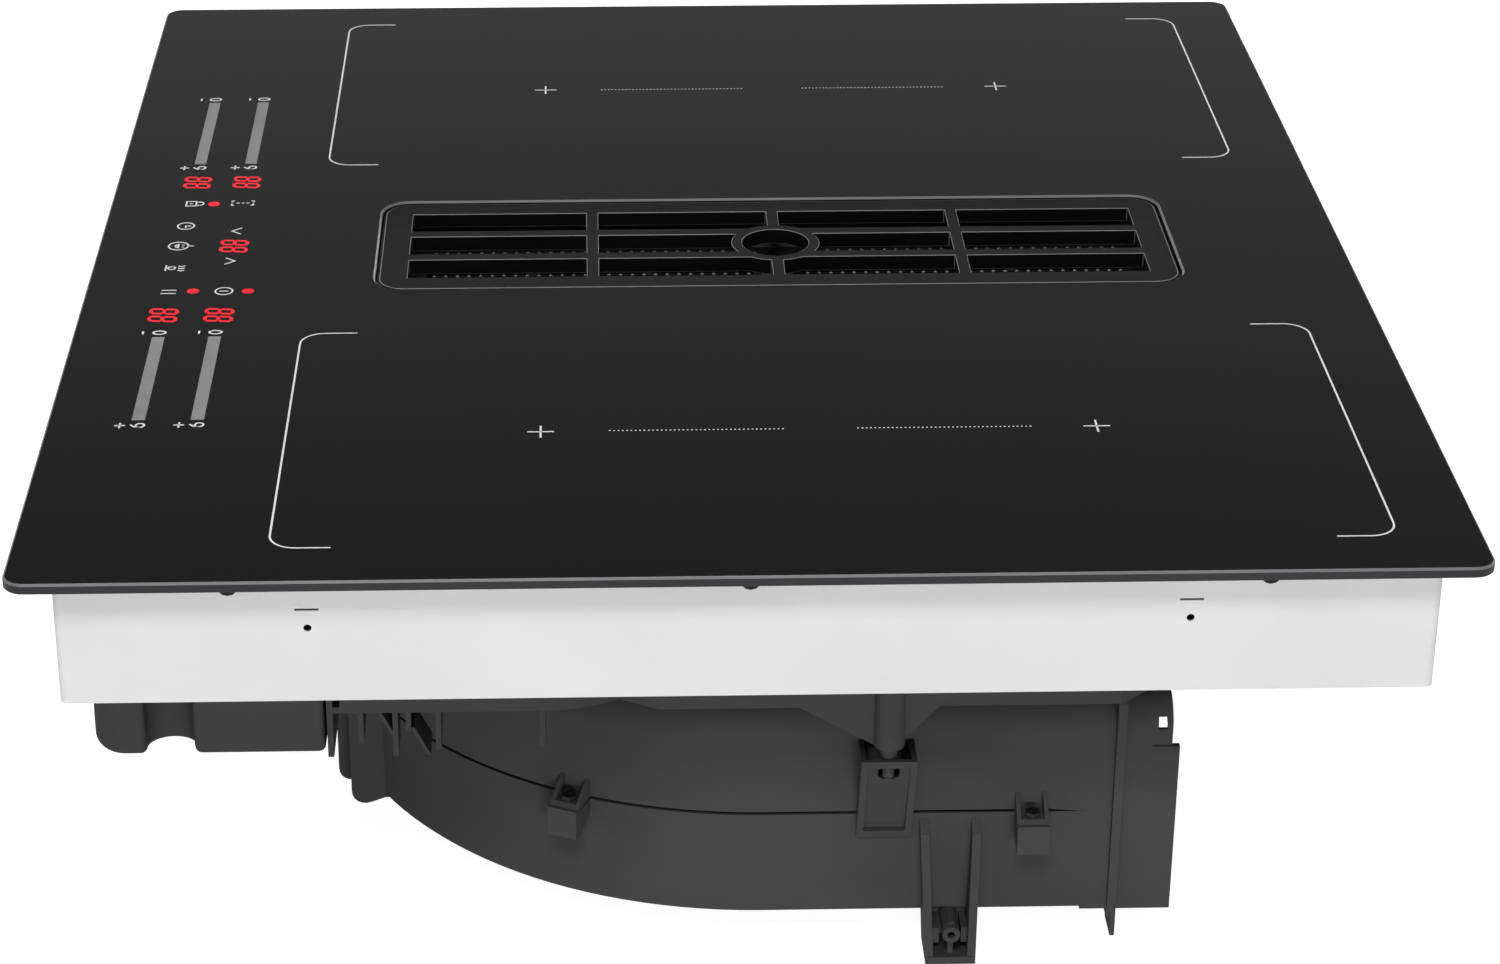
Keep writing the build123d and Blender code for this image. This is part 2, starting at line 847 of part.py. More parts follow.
terminal_cy = mains_cy + mains_y / 2 - terminal_y / 2
with BuildPart() as terminal_block:
    slab(terminal_x, terminal_y, board_top, board_top + terminal_h, mains_cx, terminal_cy)
    with BuildSketch(Plane.XY.offset(board_top + terminal_h)):
        with Locations((mains_cx, terminal_cy)):
            with GridLocations(terminal_x / terminal_count, 0, terminal_count, 1):
                Rectangle(terminal_slot, 2 * terminal_slot)
    extrude(amount=-terminal_h / 2, mode=Mode.SUBTRACT)
terminal_block.part.label = "terminal_block"
export_step(terminal_block.part, "parts/terminal_block.step")

gland_plane = Plane.XZ.offset(-pan_y / 2)
with BuildPart() as cable_gland:
    with BuildSketch(gland_plane):
        with Locations((mains_cx, gland_z)):
            Circle(gland_thread_r)
    extrude(amount=gland_nut_t + 2 * sheet)
    with BuildSketch(gland_plane):
        with Locations((mains_cx, gland_z)):
            Circle(gland_r)
    extrude(amount=-gland_l)
    with BuildSketch(gland_plane.offset(-gland_l)):
        with Locations((mains_cx, gland_z)):
            Circle(gland_bore_r)
    extrude(amount=gland_l + gland_nut_t + 2 * sheet, mode=Mode.SUBTRACT)
cable_gland.part.label = "cable_gland"
export_step(cable_gland.part, "parts/cable_gland.step")

with BuildPart() as gland_nut:
    with BuildSketch(gland_plane.offset(sheet)):
        with Locations((mains_cx, gland_z)):
            RegularPolygon(gland_nut_r, 6)
            Circle(gland_thread_r, mode=Mode.SUBTRACT)
    extrude(amount=gland_nut_t)
gland_nut.part.label = "gland_nut"
export_step(gland_nut.part, "parts/gland_nut.step")

# ---------------------------------------------------------------------------
# Touch control strip
# ---------------------------------------------------------------------------

control_top = glass_low - display_t
control_low = control_top - control_board_t
holder_low = control_low - holder_t
display_spots = [
    (-display_col, control_row_front),
    (-display_col, control_row_rear),
    (0, control_row_rear),
    (display_col, control_row_front),
    (display_col, control_row_rear),
]
key_spots = [(x, control_row_front) for x in front_keys] + [(x, control_row_rear) for x in rear_keys]
with BuildPart() as control_board:
    slab(control_x, control_y, control_low, control_top, cy=control_cy)
control_board.part.label = "control_board"
export_step(control_board.part, "parts/control_board.step")

with BuildPart() as displays:
    for spot in display_spots:
        slab(display_x, display_y, control_top, glass_low, *spot)
displays.part.label = "displays"
export_step(displays.part, "parts/displays.step")

with BuildPart() as touch_pads:
    for row in (control_row_front, control_row_rear):
        for side in sides:
            slab(slider_l, slider_w, control_top, glass_low, side * slider_cx, row)
    for spot in key_spots:
        slab(2 * key_r, 2 * key_r, control_top, glass_low, *spot)
touch_pads.part.label = "touch_pads"
export_step(touch_pads.part, "parts/touch_pads.step")

with BuildPart() as control_holder:
    slab(control_x + 2 * holder_t, control_y + 2 * holder_t, holder_low, control_low, cy=control_cy)
    with BuildSketch(Plane.XY.offset(floor_z)):
        with Locations((0, control_cy)):
            with GridLocations(control_x / 2 - 4 * holder_leg_r, control_y - 4 * holder_leg_r, 3, 2):
                RegularPolygon(holder_leg_r, 6)
    extrude(amount=holder_low - floor_z)
control_holder.part.label = "control_holder"
export_step(control_holder.part, "parts/control_holder.step")

# ---------------------------------------------------------------------------
# Base casing: the plenum that hangs under the pan and carries the blower
# ---------------------------------------------------------------------------

waist_drop = casing_waist_y - casing_round_y
waist_r = (waist_drop**2 + casing_waist**2) / (2 * casing_waist)


def casing_outline():
    """Plan of the casing: a waist in the near side, cut corners at the back."""
    near_waist = casing_near - casing_waist
    with BuildSketch() as plan:
        with BuildLine():
            Line((casing_near, casing_front), (casing_near, casing_round_y))
            RadiusArc((casing_near, casing_round_y), (near_waist, casing_waist_y), -waist_r)
            Polyline(
                (near_waist, casing_waist_y),
                (casing_near, casing_shoulder_y),
                (casing_near, casing_side_rear),
                (casing_step_x, casing_side_rear + casing_cut),
                (casing_tail_x, casing_rear),
                (casing_far + casing_cut, casing_rear),
                (casing_far, casing_rear - casing_cut),
                (casing_far, casing_front),
                (casing_near, casing_front),
            )
        make_face()
    return plan.sketch


boss_x = casing_near + casing_wall
with BuildPart() as base_casing:
    with BuildSketch(Plane.XY.offset(casing_low)):
        add(casing_outline())
    extrude(amount=casing_h)
    with BuildSketch(Plane.XY.offset(casing_floor)):
        add(casing_outline())
        offset(amount=-casing_wall)
    extrude(amount=casing_h - casing_wall, mode=Mode.SUBTRACT)
    # inlet hole with a weir that keeps liquid off the wheel
    disc(inlet_ring_r + weir_t, casing_low, casing_floor + weir_h, *fan_axis)
    disc(inlet_ring_r + fit_gap, casing_low, casing_floor + weir_h, *fan_axis, mode=Mode.SUBTRACT)
    # spout that drains the casing into the overflow tank
    spout_low = casing_floor - spout_t
    slab(
        spout_x,
        spout_l,
        spout_low,
        spout_low + spout_h,
        spout_cx,
        casing_front - spout_l / 2,
    )
    slab(
        spout_x - 2 * spout_t,
        spout_l + spout_run,
        casing_floor,
        spout_low + spout_h - spout_t,
        spout_cx,
        casing_front + (spout_run - spout_l) / 2,
        mode=Mode.SUBTRACT,
    )
    # front skirt beside the tank
    skirt_cx = casing_near - skirt_x / 2
    slab(skirt_x, skirt_out, casing_low, casing_floor, skirt_cx, casing_front - skirt_out / 2)
    slab(
        skirt_x,
        skirt_t,
        casing_low - skirt_drop,
        pan_low,
        skirt_cx,
        casing_front - skirt_out + skirt_t / 2,
    )
    # stiffening ribs under the near edge
    for rib_y, rib_drop in near_ribs:
        slab(rib_x, rib_t, casing_low - rib_drop, casing_low, casing_near - rib_x / 2, rib_y)
    for top_y, top_drop, low_y, low_drop in near_braces:
        with BuildSketch(Plane.YZ.offset(casing_near - rib_x)):
            with BuildLine():
                Polyline(
                    (top_y, casing_low - top_drop),
                    (low_y, casing_low - low_drop),
                    (low_y + brace_w, casing_low - low_drop),
                    (top_y + brace_w, casing_low - top_drop),
                    (top_y, casing_low - top_drop),
                )
            make_face()
        extrude(amount=rib_x)
    # gusset and boss that hang the blower at its near side
    with BuildSketch(Plane.YZ.offset(casing_near)):
        with BuildLine():
            Polyline(
                (hanger_y - hanger_web_front, gusset_top),
                (hanger_y + hanger_web_rear, gusset_top),
                (hanger_y + boss_r, boss_low + hanger_step),
                (hanger_y + boss_r, boss_low),
                (hanger_y - boss_r, boss_low),
                (hanger_y - hanger_web_front, gusset_top),
            )
        make_face()
    extrude(amount=gusset_t)
    disc(boss_r, boss_low, gusset_top, boss_x, hanger_y)
    with BuildSketch(Plane.XY.offset(boss_low)):
        with Locations((boss_x, hanger_y)):
            Circle(boss_tip_r)
    extrude(amount=-boss_tip, taper=boss_taper)
    disc(boss_pin_r, boss_low - boss_pin, boss_low, boss_x, hanger_y)
base_casing.part.label = "base_casing"
export_step(base_casing.part, "parts/base_casing.step")

# ---------------------------------------------------------------------------
# Overflow tank on its two rails
# ---------------------------------------------------------------------------

tank_x = casing_near - tank_far
tank_y = tank_rear - tank_front
tank_cx = (casing_near + tank_far) / 2
tank_cy = (tank_front + tank_rear) / 2
tank_top = pan_low - tank_gap
tank_low = casing_low - tank_drop
rim_top = tank_top - tank_gap


def tank_block(inset, low):
    """The tank's block: square at the rear, rounded at the front, inset from the outer face."""
    with BuildSketch(Plane.XY.offset(low)) as plan:
        with Locations((tank_cx, tank_cy)):
            Rectangle(tank_x - 2 * inset, tank_y - 2 * inset)
        fillet(plan.vertices().group_by(Axis.Y)[0], tank_r - inset)
    extrude(plan.sketch, amount=tank_top - low)


def tank_groove(r):
    """The finger groove in the near wall: a bore of radius r that opens to the near side."""
    groove_x = casing_near - tank_groove_in
    disc(r, tank_low, tank_top, groove_x, tank_groove_y, mode=Mode.SUBTRACT)
    slab(2 * tank_groove_in, 2 * r, tank_low, tank_top, casing_near, tank_groove_y, mode=Mode.SUBTRACT)


with BuildPart() as tank_bowl:
    tank_block(tank_wall, tank_low + tank_wall)
    chamfer(tank_bowl.faces().sort_by(Axis.Z)[0].edges(), tank_bowl_chamfer)
    tank_groove(tank_groove_r + tank_wall)

with BuildPart() as overflow_tank:
    tank_block(0, tank_low)
    foot_edges = overflow_tank.faces().sort_by(Axis.Z)[0].edges()
    fillet(foot_edges.sort_by(Axis.Y)[:-1], tank_foot_r)
    add(tank_bowl.part, mode=Mode.SUBTRACT)
    tank_groove(tank_groove_r)
    # runner flanges
    for edge in (casing_near, tank_far):
        out = 1 if edge == casing_near else -1
        slab(
            runner_w,
            tank_y - 2 * tank_r,
            rim_top - runner_t,
            rim_top,
            edge + out * runner_w / 2,
            tank_cy,
        )
    # mouth for the spout
    slab(
        spout_x + 2 * tank_gap,
        2 * tank_wall,
        spout_low - tank_gap,
        spout_low + spout_h + tank_gap,
        spout_cx,
        tank_rear - tank_wall / 2,
        mode=Mode.SUBTRACT,
    )
overflow_tank.part.label = "overflow_tank"
export_step(overflow_tank.part, "parts/overflow_tank.step")

with BuildPart() as tank_rails:
    for edge in (casing_near, tank_far):
        out = 1 if edge == casing_near else -1
        lip_low = rim_top - runner_t - runner_gap - runner_t
        web_x = edge + out * (runner_w + runner_gap + runner_t / 2)
        slab(runner_t, tank_y - tank_r, lip_low, pan_low, web_x, tank_cy + tank_r / 2)
        slab(
            runner_w,
            tank_y - tank_r,
            lip_low,
            lip_low + runner_t,
            edge + out * (runner_gap + runner_w / 2),
            tank_cy + tank_r / 2,
        )
tank_rails.part.label = "tank_rails"
export_step(tank_rails.part, "parts/tank_rails.step")

# ---------------------------------------------------------------------------
# Blower scroll
# ---------------------------------------------------------------------------


def scroll_form(inset, low, high, top_edge=0.0, foot_edge=0.0, ease=fillet):
    """The drum of the scroll and its duct, inset from the outer face, with eased ends."""
    near = scroll_near - inset
    far = duct_far + inset
    with BuildPart() as drum:
        with BuildSketch(Plane.XY.offset(low)):
            with BuildLine():
                a4 = CenterArc(c4, scroll_r - inset, 0, -90)
                a3 = CenterArc(c3, r3 - inset, 270, -90)
                a2 = CenterArc(c2, r2 - inset, 180, -90)
                Polyline(a2 @ 1, (near, shell_end * drum_close), a4 @ 0)
            make_face()
        extrude(amount=high - low)
        if top_edge > 0:
            ease(drum.faces().sort_by(Axis.Z)[-1].edges(), top_edge)
        if foot_edge > 0:
            ease(drum.faces().sort_by(Axis.Z)[0].edges(), foot_edge)
    with BuildPart() as duct:
        with BuildSketch(Plane.XY.offset(low)):
            with Locations(((near + far) / 2, (scroll_cy + shell_end) / 2)):
                Rectangle(near - far, shell_end - scroll_cy)
        extrude(amount=high - low)
        if top_edge > 0:
            ease(duct.faces().sort_by(Axis.Z)[-1].edges().filter_by(Axis.Y), top_edge)
        if foot_edge > 0:
            ease(duct.faces().sort_by(Axis.Z)[0].edges().filter_by(Axis.Y), foot_edge)
    return drum.part + duct.part


def tongue_form(low, high):
    """The crescent behind the cut-off, which narrows the drum to the wheel."""
    with BuildPart() as tongue:
        with BuildSketch(Plane.XY.offset(low)):
            with Locations(c2):
                Circle(r2 - scroll_wall / 2)
            with Locations((c2[0] - r2 + tongue_r + scroll_wall, c2[1])):
                Circle(tongue_r, mode=Mode.SUBTRACT)
            with Locations((tongue_x + r2, c2[1])):
                Rectangle(2 * r2, 4 * r2, mode=Mode.SUBTRACT)
            with Locations((c2[0], c2[1] - r2)):
                Rectangle(4 * r2, 2 * r2, mode=Mode.SUBTRACT)
        extrude(amount=high - low)
    return tongue.part


clip_spots = []
for clip_y in clip_ys:
    reach = clip_y - c4[1]
    flat = clip_y > c4[1]
    turn = 0.0 if flat else atan2(reach, sqrt(scroll_r**2 - reach**2))
    face_x = scroll_near if flat else c4[0] + scroll_r * cos(turn)
    clip_spots.append((face_x, clip_y, turn))


def clip_plane(face_x, clip_y, turn):
    """The upright middle plane of a clip: x points out from the wall, y points up."""
    return Plane(
        origin=(face_x, clip_y, 0), x_dir=(cos(turn), sin(turn), 0), z_dir=(sin(turn), -cos(turn), 0)
    )


def clip_screw(face_x, clip_y, turn):
    """Where the screw of a clip stands."""
    return (face_x + cos(turn) * clip_out / 2, clip_y + sin(turn) * clip_out / 2)

with BuildPart() as scroll_upper:
    add(scroll_form(0, seam_z, scroll_top, top_edge=scroll_round))
    add(
        scroll_form(
            scroll_wall, seam_z, scroll_top - scroll_wall, top_edge=bore_chamfer, ease=chamfer
        ),
        mode=Mode.SUBTRACT,
    )
    add(tongue_form(seam_z, scroll_top - scroll_wall))
    disc(inlet_r, scroll_top - scroll_wall, scroll_top, *fan_axis, mode=Mode.SUBTRACT)
    # pocket that takes the hanger boss: a lip, a slanted front plate and two cheeks beside it
    for width, set_back, toe, end in (
        (pocket_y, 0, pocket_cheek_toe, pocket_cheek_end),
        (pocket_y - 2 * pocket_cheek, pocket_set, fit_gap + pocket_set, pocket_plate_end),
    ):
        with BuildSketch(Plane.XZ.offset(-hanger_y)) as wedge:
            with BuildLine():
                Polyline(
                    (scroll_near - scroll_wall / 2, pocket_top),
                    (scroll_near + pocket_x - set_back, pocket_top),
                    (scroll_near + pocket_x - set_back, pocket_top - pocket_lip),
                    (scroll_near + toe, seam_z - end),
                    (scroll_near + fit_gap, seam_z - end),
                    (scroll_near + fit_gap, seam_z),
                    (scroll_near - scroll_wall / 2, seam_z),
                    (scroll_near - scroll_wall / 2, pocket_top),
                )
            make_face()
        # the cheeks' form is cut back between them, where the plate's form takes its place
        if set_back:
            with BuildSketch(Plane.XY.offset(pocket_top - pocket_lip)) as between:
                with Locations((scroll_near + fit_gap + pocket_x / 2, hanger_y)):
                    Rectangle(pocket_x, width)
            extrude(between.sketch, amount=seam_z - end - pocket_top, mode=Mode.SUBTRACT)
        extrude(wedge.sketch, amount=width / 2, both=True)
    plate_run = (pocket_x - fit_gap - 2 * pocket_set) / (pocket_top - pocket_lip - seam_z + pocket_plate_end)
    pocket_foot = pocket_x - plate_run * (pocket_depth - pocket_lip) - pocket_wall
    with BuildSketch(Plane.XZ.offset(-hanger_y)) as hollow:
        with BuildLine():
            Polyline(
                (scroll_near, pocket_top),
                (scroll_near + pocket_x - pocket_wall, pocket_top),
                (scroll_near + pocket_x - pocket_wall, pocket_top - pocket_lip),
                (scroll_near + pocket_foot, pocket_floor),
                (scroll_near, pocket_floor),
                (scroll_near, pocket_top),
            )
        make_face()
    extrude(hollow.sketch, amount=pocket_y / 2 - pocket_wall, both=True, mode=Mode.SUBTRACT)
    # slot in the front plate, round at its foot, that shows the boss's pin
    with BuildSketch(Plane.YZ.offset(scroll_near + pocket_x)) as slot:
        with Locations((hanger_y, pocket_top - pocket_lip - pocket_slot_h / 2)):
            Rectangle(pocket_slot_w, pocket_slot_h)
        fillet(slot.vertices().group_by(Axis.Z)[0], pocket_wall)
    extrude(slot.sketch, amount=-pocket_x + pocket_wall, mode=Mode.SUBTRACT)
    # clips: a floor over each lug of the lower shell, between two cheeks that rise to the wall
    for spot in clip_spots:
        for low, rise, width, mode in (
            (seam_z, 0, clip_w, Mode.ADD),
            (seam_z + clip_floor, clip_floor, clip_w - 2 * clip_wall, Mode.SUBTRACT),
        ):
            with BuildSketch(clip_plane(*spot)) as cheek:
                with BuildLine():
                    Polyline(
                        (0, low),
                        (clip_out + rise, low),
                        (clip_out + rise, seam_z + clip_lip + rise),
                        (clip_out - clip_wall, seam_z + clip_lip + rise),
                        (0, seam_z + clip_h + rise),
                        (0, low),
                    )
                make_face()
                if mode == Mode.ADD:
                    with Locations((-scroll_wall / 4, seam_z + clip_h / 2)):
                        Rectangle(scroll_wall / 2, clip_h)
            extrude(cheek.sketch, amount=width / 2, both=True, mode=mode)
        disc(screw_r + screw_play, seam_z, seam_z + clip_floor, *clip_screw(*spot), mode=Mode.SUBTRACT)
scroll_upper.part.label = "scroll_upper"
export_step(scroll_upper.part, "parts/scroll_upper.step")

# the two arms of the foot bracket, which lean in towards its foot
with BuildPart() as foot_arms:
    with BuildSketch(Plane.YZ.offset(scroll_near - foot_back)):
        for side in sides:
            arm_top = foot_y + side * foot_w / 2
            arm_foot = foot_y + foot_lean + side * foot_w_low / 2
            with BuildLine():
                Polyline(
                    (arm_top, seam_z),
                    (arm_foot, foot_low),
                    (arm_foot - side * foot_arm_t, foot_low),
                    (arm_top - side * foot_arm_t, seam_z),
                    (arm_top, seam_z),
                )
            make_face()
    extrude(amount=foot_back + foot_out)
    with BuildSketch(Plane.XZ.offset(-foot_y)) as arm_side:
        with BuildLine():
            Polyline(
                (scroll_near - scroll_wall / 2, foot_top),
                (scroll_near, foot_top),
                (scroll_near + foot_knee, foot_top - foot_knee * 3 / 4),
                (scroll_near + foot_out, foot_low),
                (scroll_near - foot_back, foot_low),
                (scroll_near - foot_back, scroll_low + scroll_wall / 2),
                (scroll_near - scroll_wall / 2, scroll_low + scroll_wall),
                (scroll_near - scroll_wall / 2, foot_top),
            )
        make_face()
    extrude(arm_side.sketch, amount=foot_w, both=True, mode=Mode.INTERSECT)

with BuildPart() as scroll_lower:
    add(scroll_form(0, scroll_low, seam_z, foot_edge=foot_chamfer, ease=chamfer))
    add(scroll_form(scroll_wall, scroll_low + scroll_wall, seam_z), mode=Mode.SUBTRACT)
    add(tongue_form(scroll_low + scroll_wall, seam_z))
    # lugs that the clips screw to, each with a slanted heel
    for spot in clip_spots:
        with BuildSketch(clip_plane(*spot)) as lug:
            with BuildLine():
                Polyline(
                    (-scroll_wall / 2, seam_z),
                    (clip_out, seam_z),
                    (clip_out, seam_z - lug_h),
                    (clip_out - lug_heel, seam_z - lug_h),
                    (-scroll_wall / 2, seam_z - lug_heel),
                    (-scroll_wall / 2, seam_z),
                )
            make_face()
        extrude(lug.sketch, amount=clip_w / 2, both=True)
        disc(screw_r + screw_play, seam_z - lug_h, seam_z, *clip_screw(*spot), mode=Mode.SUBTRACT)
    add(foot_arms.part)
    # the bracket's web, bottom plate, middle rib, screw boss and side tabs
    foot_tail = scroll_near - foot_back
    foot_cy = foot_y + foot_lean
    foot_deep = foot_back + foot_out
    slab(foot_web_t, foot_w_low, foot_low, scroll_low + foot_web_t, foot_tail + foot_web_t / 2, foot_cy)
    slab(foot_deep, foot_w_low, foot_low, foot_low + foot_arm_t, foot_tail + foot_deep / 2, foot_cy)
    rib_deep = foot_back + foot_rib_out
    slab(rib_deep, foot_rib_w, foot_low, scroll_low + foot_web_t, foot_tail + rib_deep / 2, foot_cy)
    tab_deep = foot_back + foot_tab_out
    tab_low = foot_low + foot_boss_h - foot_tab_h
    for side in sides:
        tab_cy = foot_cy + side * (foot_w_low - foot_tab_w) / 2
        slab(tab_deep, foot_tab_w, tab_low, tab_low + foot_tab_h, foot_tail + tab_deep / 2, tab_cy)
    with BuildSketch(Plane.YZ.offset(foot_tail)) as boss:
        with Locations((foot_cy, foot_low + foot_boss_h)):
            Circle(foot_boss_r)
    extrude(boss.sketch, amount=foot_deep)
    with BuildSketch(Plane.YZ.offset(foot_tail + foot_web_t)) as bore:
        with Locations((foot_cy, foot_low + foot_boss_h)):
            Circle(screw_r)
    extrude(bore.sketch, amount=foot_deep, mode=Mode.SUBTRACT)
    # two rounded lugs on the front of the drum
    for lug_x, lug_out in front_lugs:
        wall_y = c4[1] - sqrt(scroll_r**2 - (lug_x - c4[0]) ** 2)
        with BuildSketch(Plane.YZ.offset(lug_x)) as lug:
            with BuildLine():
                Polyline(
                    (wall_y + scroll_wall, seam_z),
                    (wall_y - lug_out, seam_z),
                    (wall_y - lug_out, front_lug_low),
                    (wall_y, scroll_low),
                    (wall_y + scroll_wall, scroll_low),
                    (wall_y + scroll_wall, seam_z),
                )
            make_face()
            fillet(lug.vertices().sort_by(Axis.Z)[0], front_lug_r)
        extrude(lug.sketch, amount=-front_lug_t)
scroll_lower.part.label = "scroll_lower"
export_step(scroll_lower.part, "parts/scroll_lower.step")

# outlet collar: the flat-duct spigot with its stop flange
duct_cx = (scroll_near + duct_far) / 2
duct_cz = (scroll_top + scroll_low) / 2
with BuildPart() as collar_bore:
    with BuildSketch(Plane.XZ.offset(-collar_end)):
        with Locations((duct_cx, duct_cz)):
            Rectangle(duct_w - 2 * scroll_wall, scroll_h - 2 * scroll_wall)
    extrude(amount=collar_end - shell_end)
    chamfer(collar_bore.edges().filter_by(Axis.Y).group_by(Axis.Z)[-1], bore_chamfer)

with BuildPart() as outlet_collar:
    with BuildSketch(Plane.XZ.offset(-collar_end)):
        with Locations((duct_cx, duct_cz)):
            Rectangle(duct_w, scroll_h)
    extrude(amount=collar_end - shell_end)
    fillet(outlet_collar.edges().filter_by(Axis.Y).group_by(Axis.Z)[-1], scroll_round)
    with BuildSketch(Plane.XZ.offset(-flange_y - flange_t / 2)):
        with Locations((duct_cx, duct_cz)):
            RectangleRounded(duct_w + 2 * flange_out, scroll_h + 2 * flange_out, flange_out)
    extrude(amount=flange_t)
    for side in sides:
        slab(
            fin_x,
            fin_t,
            scroll_low - fin_drop,
            scroll_low,
            duct_cx + side * (duct_w / 2 + flange_out - fin_x / 2),
            flange_y + (flange_t - fin_t) / 2,
        )
    add(collar_bore.part, mode=Mode.SUBTRACT)
    # the end is set back above a notch on the near side, with a window for the next duct's catch
    slab(
        duct_w,
        notch_back,
        scroll_top - notch_drop,
        scroll_top,
        duct_cx,
        collar_end - notch_back / 2,
        mode=Mode.SUBTRACT,
    )
    slab(
        2 * notch_t,
        notch_y,
        scroll_top - notch_drop,
        scroll_top,
        scroll_near,
        collar_end - notch_back - notch_y / 2,
        mode=Mode.SUBTRACT,
    )
    slab(
        2 * scroll_round,
        window_y,
        scroll_top - notch_drop / 2 - window_h / 2,
        scroll_top - notch_drop / 2 + window_h / 2,
        scroll_near,
        collar_end - notch_back - notch_y / 2,
        mode=Mode.SUBTRACT,
    )
outlet_collar.part.label = "outlet_collar"
export_step(outlet_collar.part, "parts/outlet_collar.step")

# flared inlet ring and the foam gasket round it
fan_plane = Plane(origin=(*fan_axis, 0), x_dir=(1, 0, 0), z_dir=(0, -1, 0))
fan_line = Axis((*fan_axis, 0), (0, 0, 1))
with BuildPart() as inlet_ring:
    with BuildSketch(fan_plane):
        with BuildLine():
            Polyline(
                (inlet_r, scroll_top),
                (inlet_r + inlet_flare * 0.2, scroll_top + inlet_flare * 0.7),
                (inlet_ring_r, scroll_top + inlet_flare),
                (inlet_ring_r, scroll_top + inlet_flare - ring_t),
                (inlet_r + inlet_flare * 0.2 + ring_t, scroll_top + inlet_flare * 0.7 - ring_t),
                (inlet_r + ring_t, scroll_top),
                (inlet_r, scroll_top),
            )
        make_face()
    revolve(axis=fan_line)
inlet_ring.part.label = "inlet_ring"
export_step(inlet_ring.part, "parts/inlet_ring.step")

gasket_in = inlet_ring_r + fit_gap
with BuildPart() as inlet_gasket:
    disc(gasket_in + gasket_w, scroll_top, casing_low, *fan_axis)
    disc(gasket_in, scroll_top, casing_low, *fan_axis, mode=Mode.SUBTRACT)
inlet_gasket.part.label = "inlet_gasket"
export_step(inlet_gasket.part, "parts/inlet_gasket.step")

# bonded rubber buffers that the casing hangs the scroll from
with BuildPart() as rubber_buffers:
    with BuildSketch(Plane.XY.offset(scroll_top)):
        with Locations(*buffer_spots):
            RegularPolygon(buffer_r, 8)
    extrude(amount=casing_low - scroll_top)
rubber_buffers.part.label = "rubber_buffers"
export_step(rubber_buffers.part, "parts/rubber_buffers.step")

# ---------------------------------------------------------------------------
# Impeller and motor
# ---------------------------------------------------------------------------

wheel_top = scroll_top - scroll_wall - wheel_gap
wheel_low = wheel_top - wheel_h
hub_top = wheel_low + hub_h
can_r = hub_r - hub_wall
can_top = hub_top - hub_wall
magnet_r = can_r - can_t
stator_r = magnet_r - magnet_t - stator_gap
base_low = scroll_low + scroll_wall
stator_low = wheel_low + stator_lift
board_ring_low = base_low + board_ring_lift
tube_top = stator_low + stator_h + tube_rise
sweep = radians(blade_sweep)


def polar(r, turn):
    return (r * cos(turn), r * sin(turn))


# one forward-curved blade in plan, each flank bent once at its middle
blade_mid = (blade_in_r + wheel_r) / 2
lean = blade_t / blade_mid
flank = ((blade_in_r, 0.0), (blade_mid, blade_bow * sweep), (wheel_r, sweep))
with BuildLine() as blade_edge:
    Polyline(
        *[polar(r, turn) for r, turn in flank],
        *[polar(r, turn + lean) for r, turn in reversed(flank)],
        polar(*flank[0]),
    )
blade = make_face(blade_edge.line)
with BuildPart() as impeller:
    # back plate, domed hub over the motor, and the front ring
    with BuildSketch(fan_plane) as section:
        with BuildLine():
            Polyline(
                (shaft_r, hub_top),
                (hub_r, hub_top),
                (hub_r, wheel_low + wheel_plate_t),
                (wheel_r, wheel_low + wheel_plate_t),
                (wheel_r, wheel_low),
                (can_r, wheel_low),
                (can_r, can_top),
                (shaft_r, can_top),
                (shaft_r, hub_top),
            )
        make_face()
        fillet(section.vertices().sort_by_distance((hub_r, hub_top))[0], hub_round)
    revolve(axis=fan_line)
    disc(wheel_r, wheel_top - wheel_plate_t, wheel_top, *fan_axis)
    disc(wheel_r - ring_w, wheel_top - wheel_plate_t, wheel_top, *fan_axis, mode=Mode.SUBTRACT)
    # forward-curved blades
    with BuildSketch(Plane.XY.offset(wheel_low)):
        with Locations((*fan_axis, 0)):
            with PolarLocations(0, blade_count):
                add(blade)
    extrude(amount=wheel_h - wheel_plate_t / 2)
impeller.part.label = "impeller"
export_step(impeller.part, "parts/impeller.step")

with BuildPart() as rotor_can:
    disc(can_r, wheel_low, can_top, *fan_axis)
    disc(magnet_r, wheel_low, can_top - can_t, *fan_axis, mode=Mode.SUBTRACT)
    disc(shaft_r, can_top - can_t, can_top, *fan_axis, mode=Mode.SUBTRACT)
rotor_can.part.label = "rotor_can"
export_step(rotor_can.part, "parts/rotor_can.step")

with BuildPart() as rotor_magnets:
    with BuildSketch(Plane.XY.offset(stator_low)):
        with Locations((*fan_axis, 0)):
            Circle(magnet_r)
            Circle(magnet_r - magnet_t, mode=Mode.SUBTRACT)
    extrude(amount=stator_h)
rotor_magnets.part.label = "rotor_magnets"
export_step(rotor_magnets.part, "parts/rotor_magnets.step")

with BuildPart() as motor_shaft:
    disc(shaft_r, base_low + shaft_foot, hub_top + shaft_nose, *fan_axis)
motor_shaft.part.label = "motor_shaft"
export_step(motor_shaft.part, "parts/motor_shaft.step")

with BuildPart() as motor_stator:
    with BuildSketch(Plane.XY.offset(stator_low)):
        with Locations((*fan_axis, 0)):
            Circle(stator_r)
            with PolarLocations(stator_r - slot_depth / 2, stator_slot_count):
                Rectangle(slot_depth, stator_slot_w, mode=Mode.SUBTRACT)
            Circle(stator_r_in, mode=Mode.SUBTRACT)
    extrude(amount=stator_h)
motor_stator.part.label = "motor_stator"
export_step(motor_stator.part, "parts/motor_stator.step")

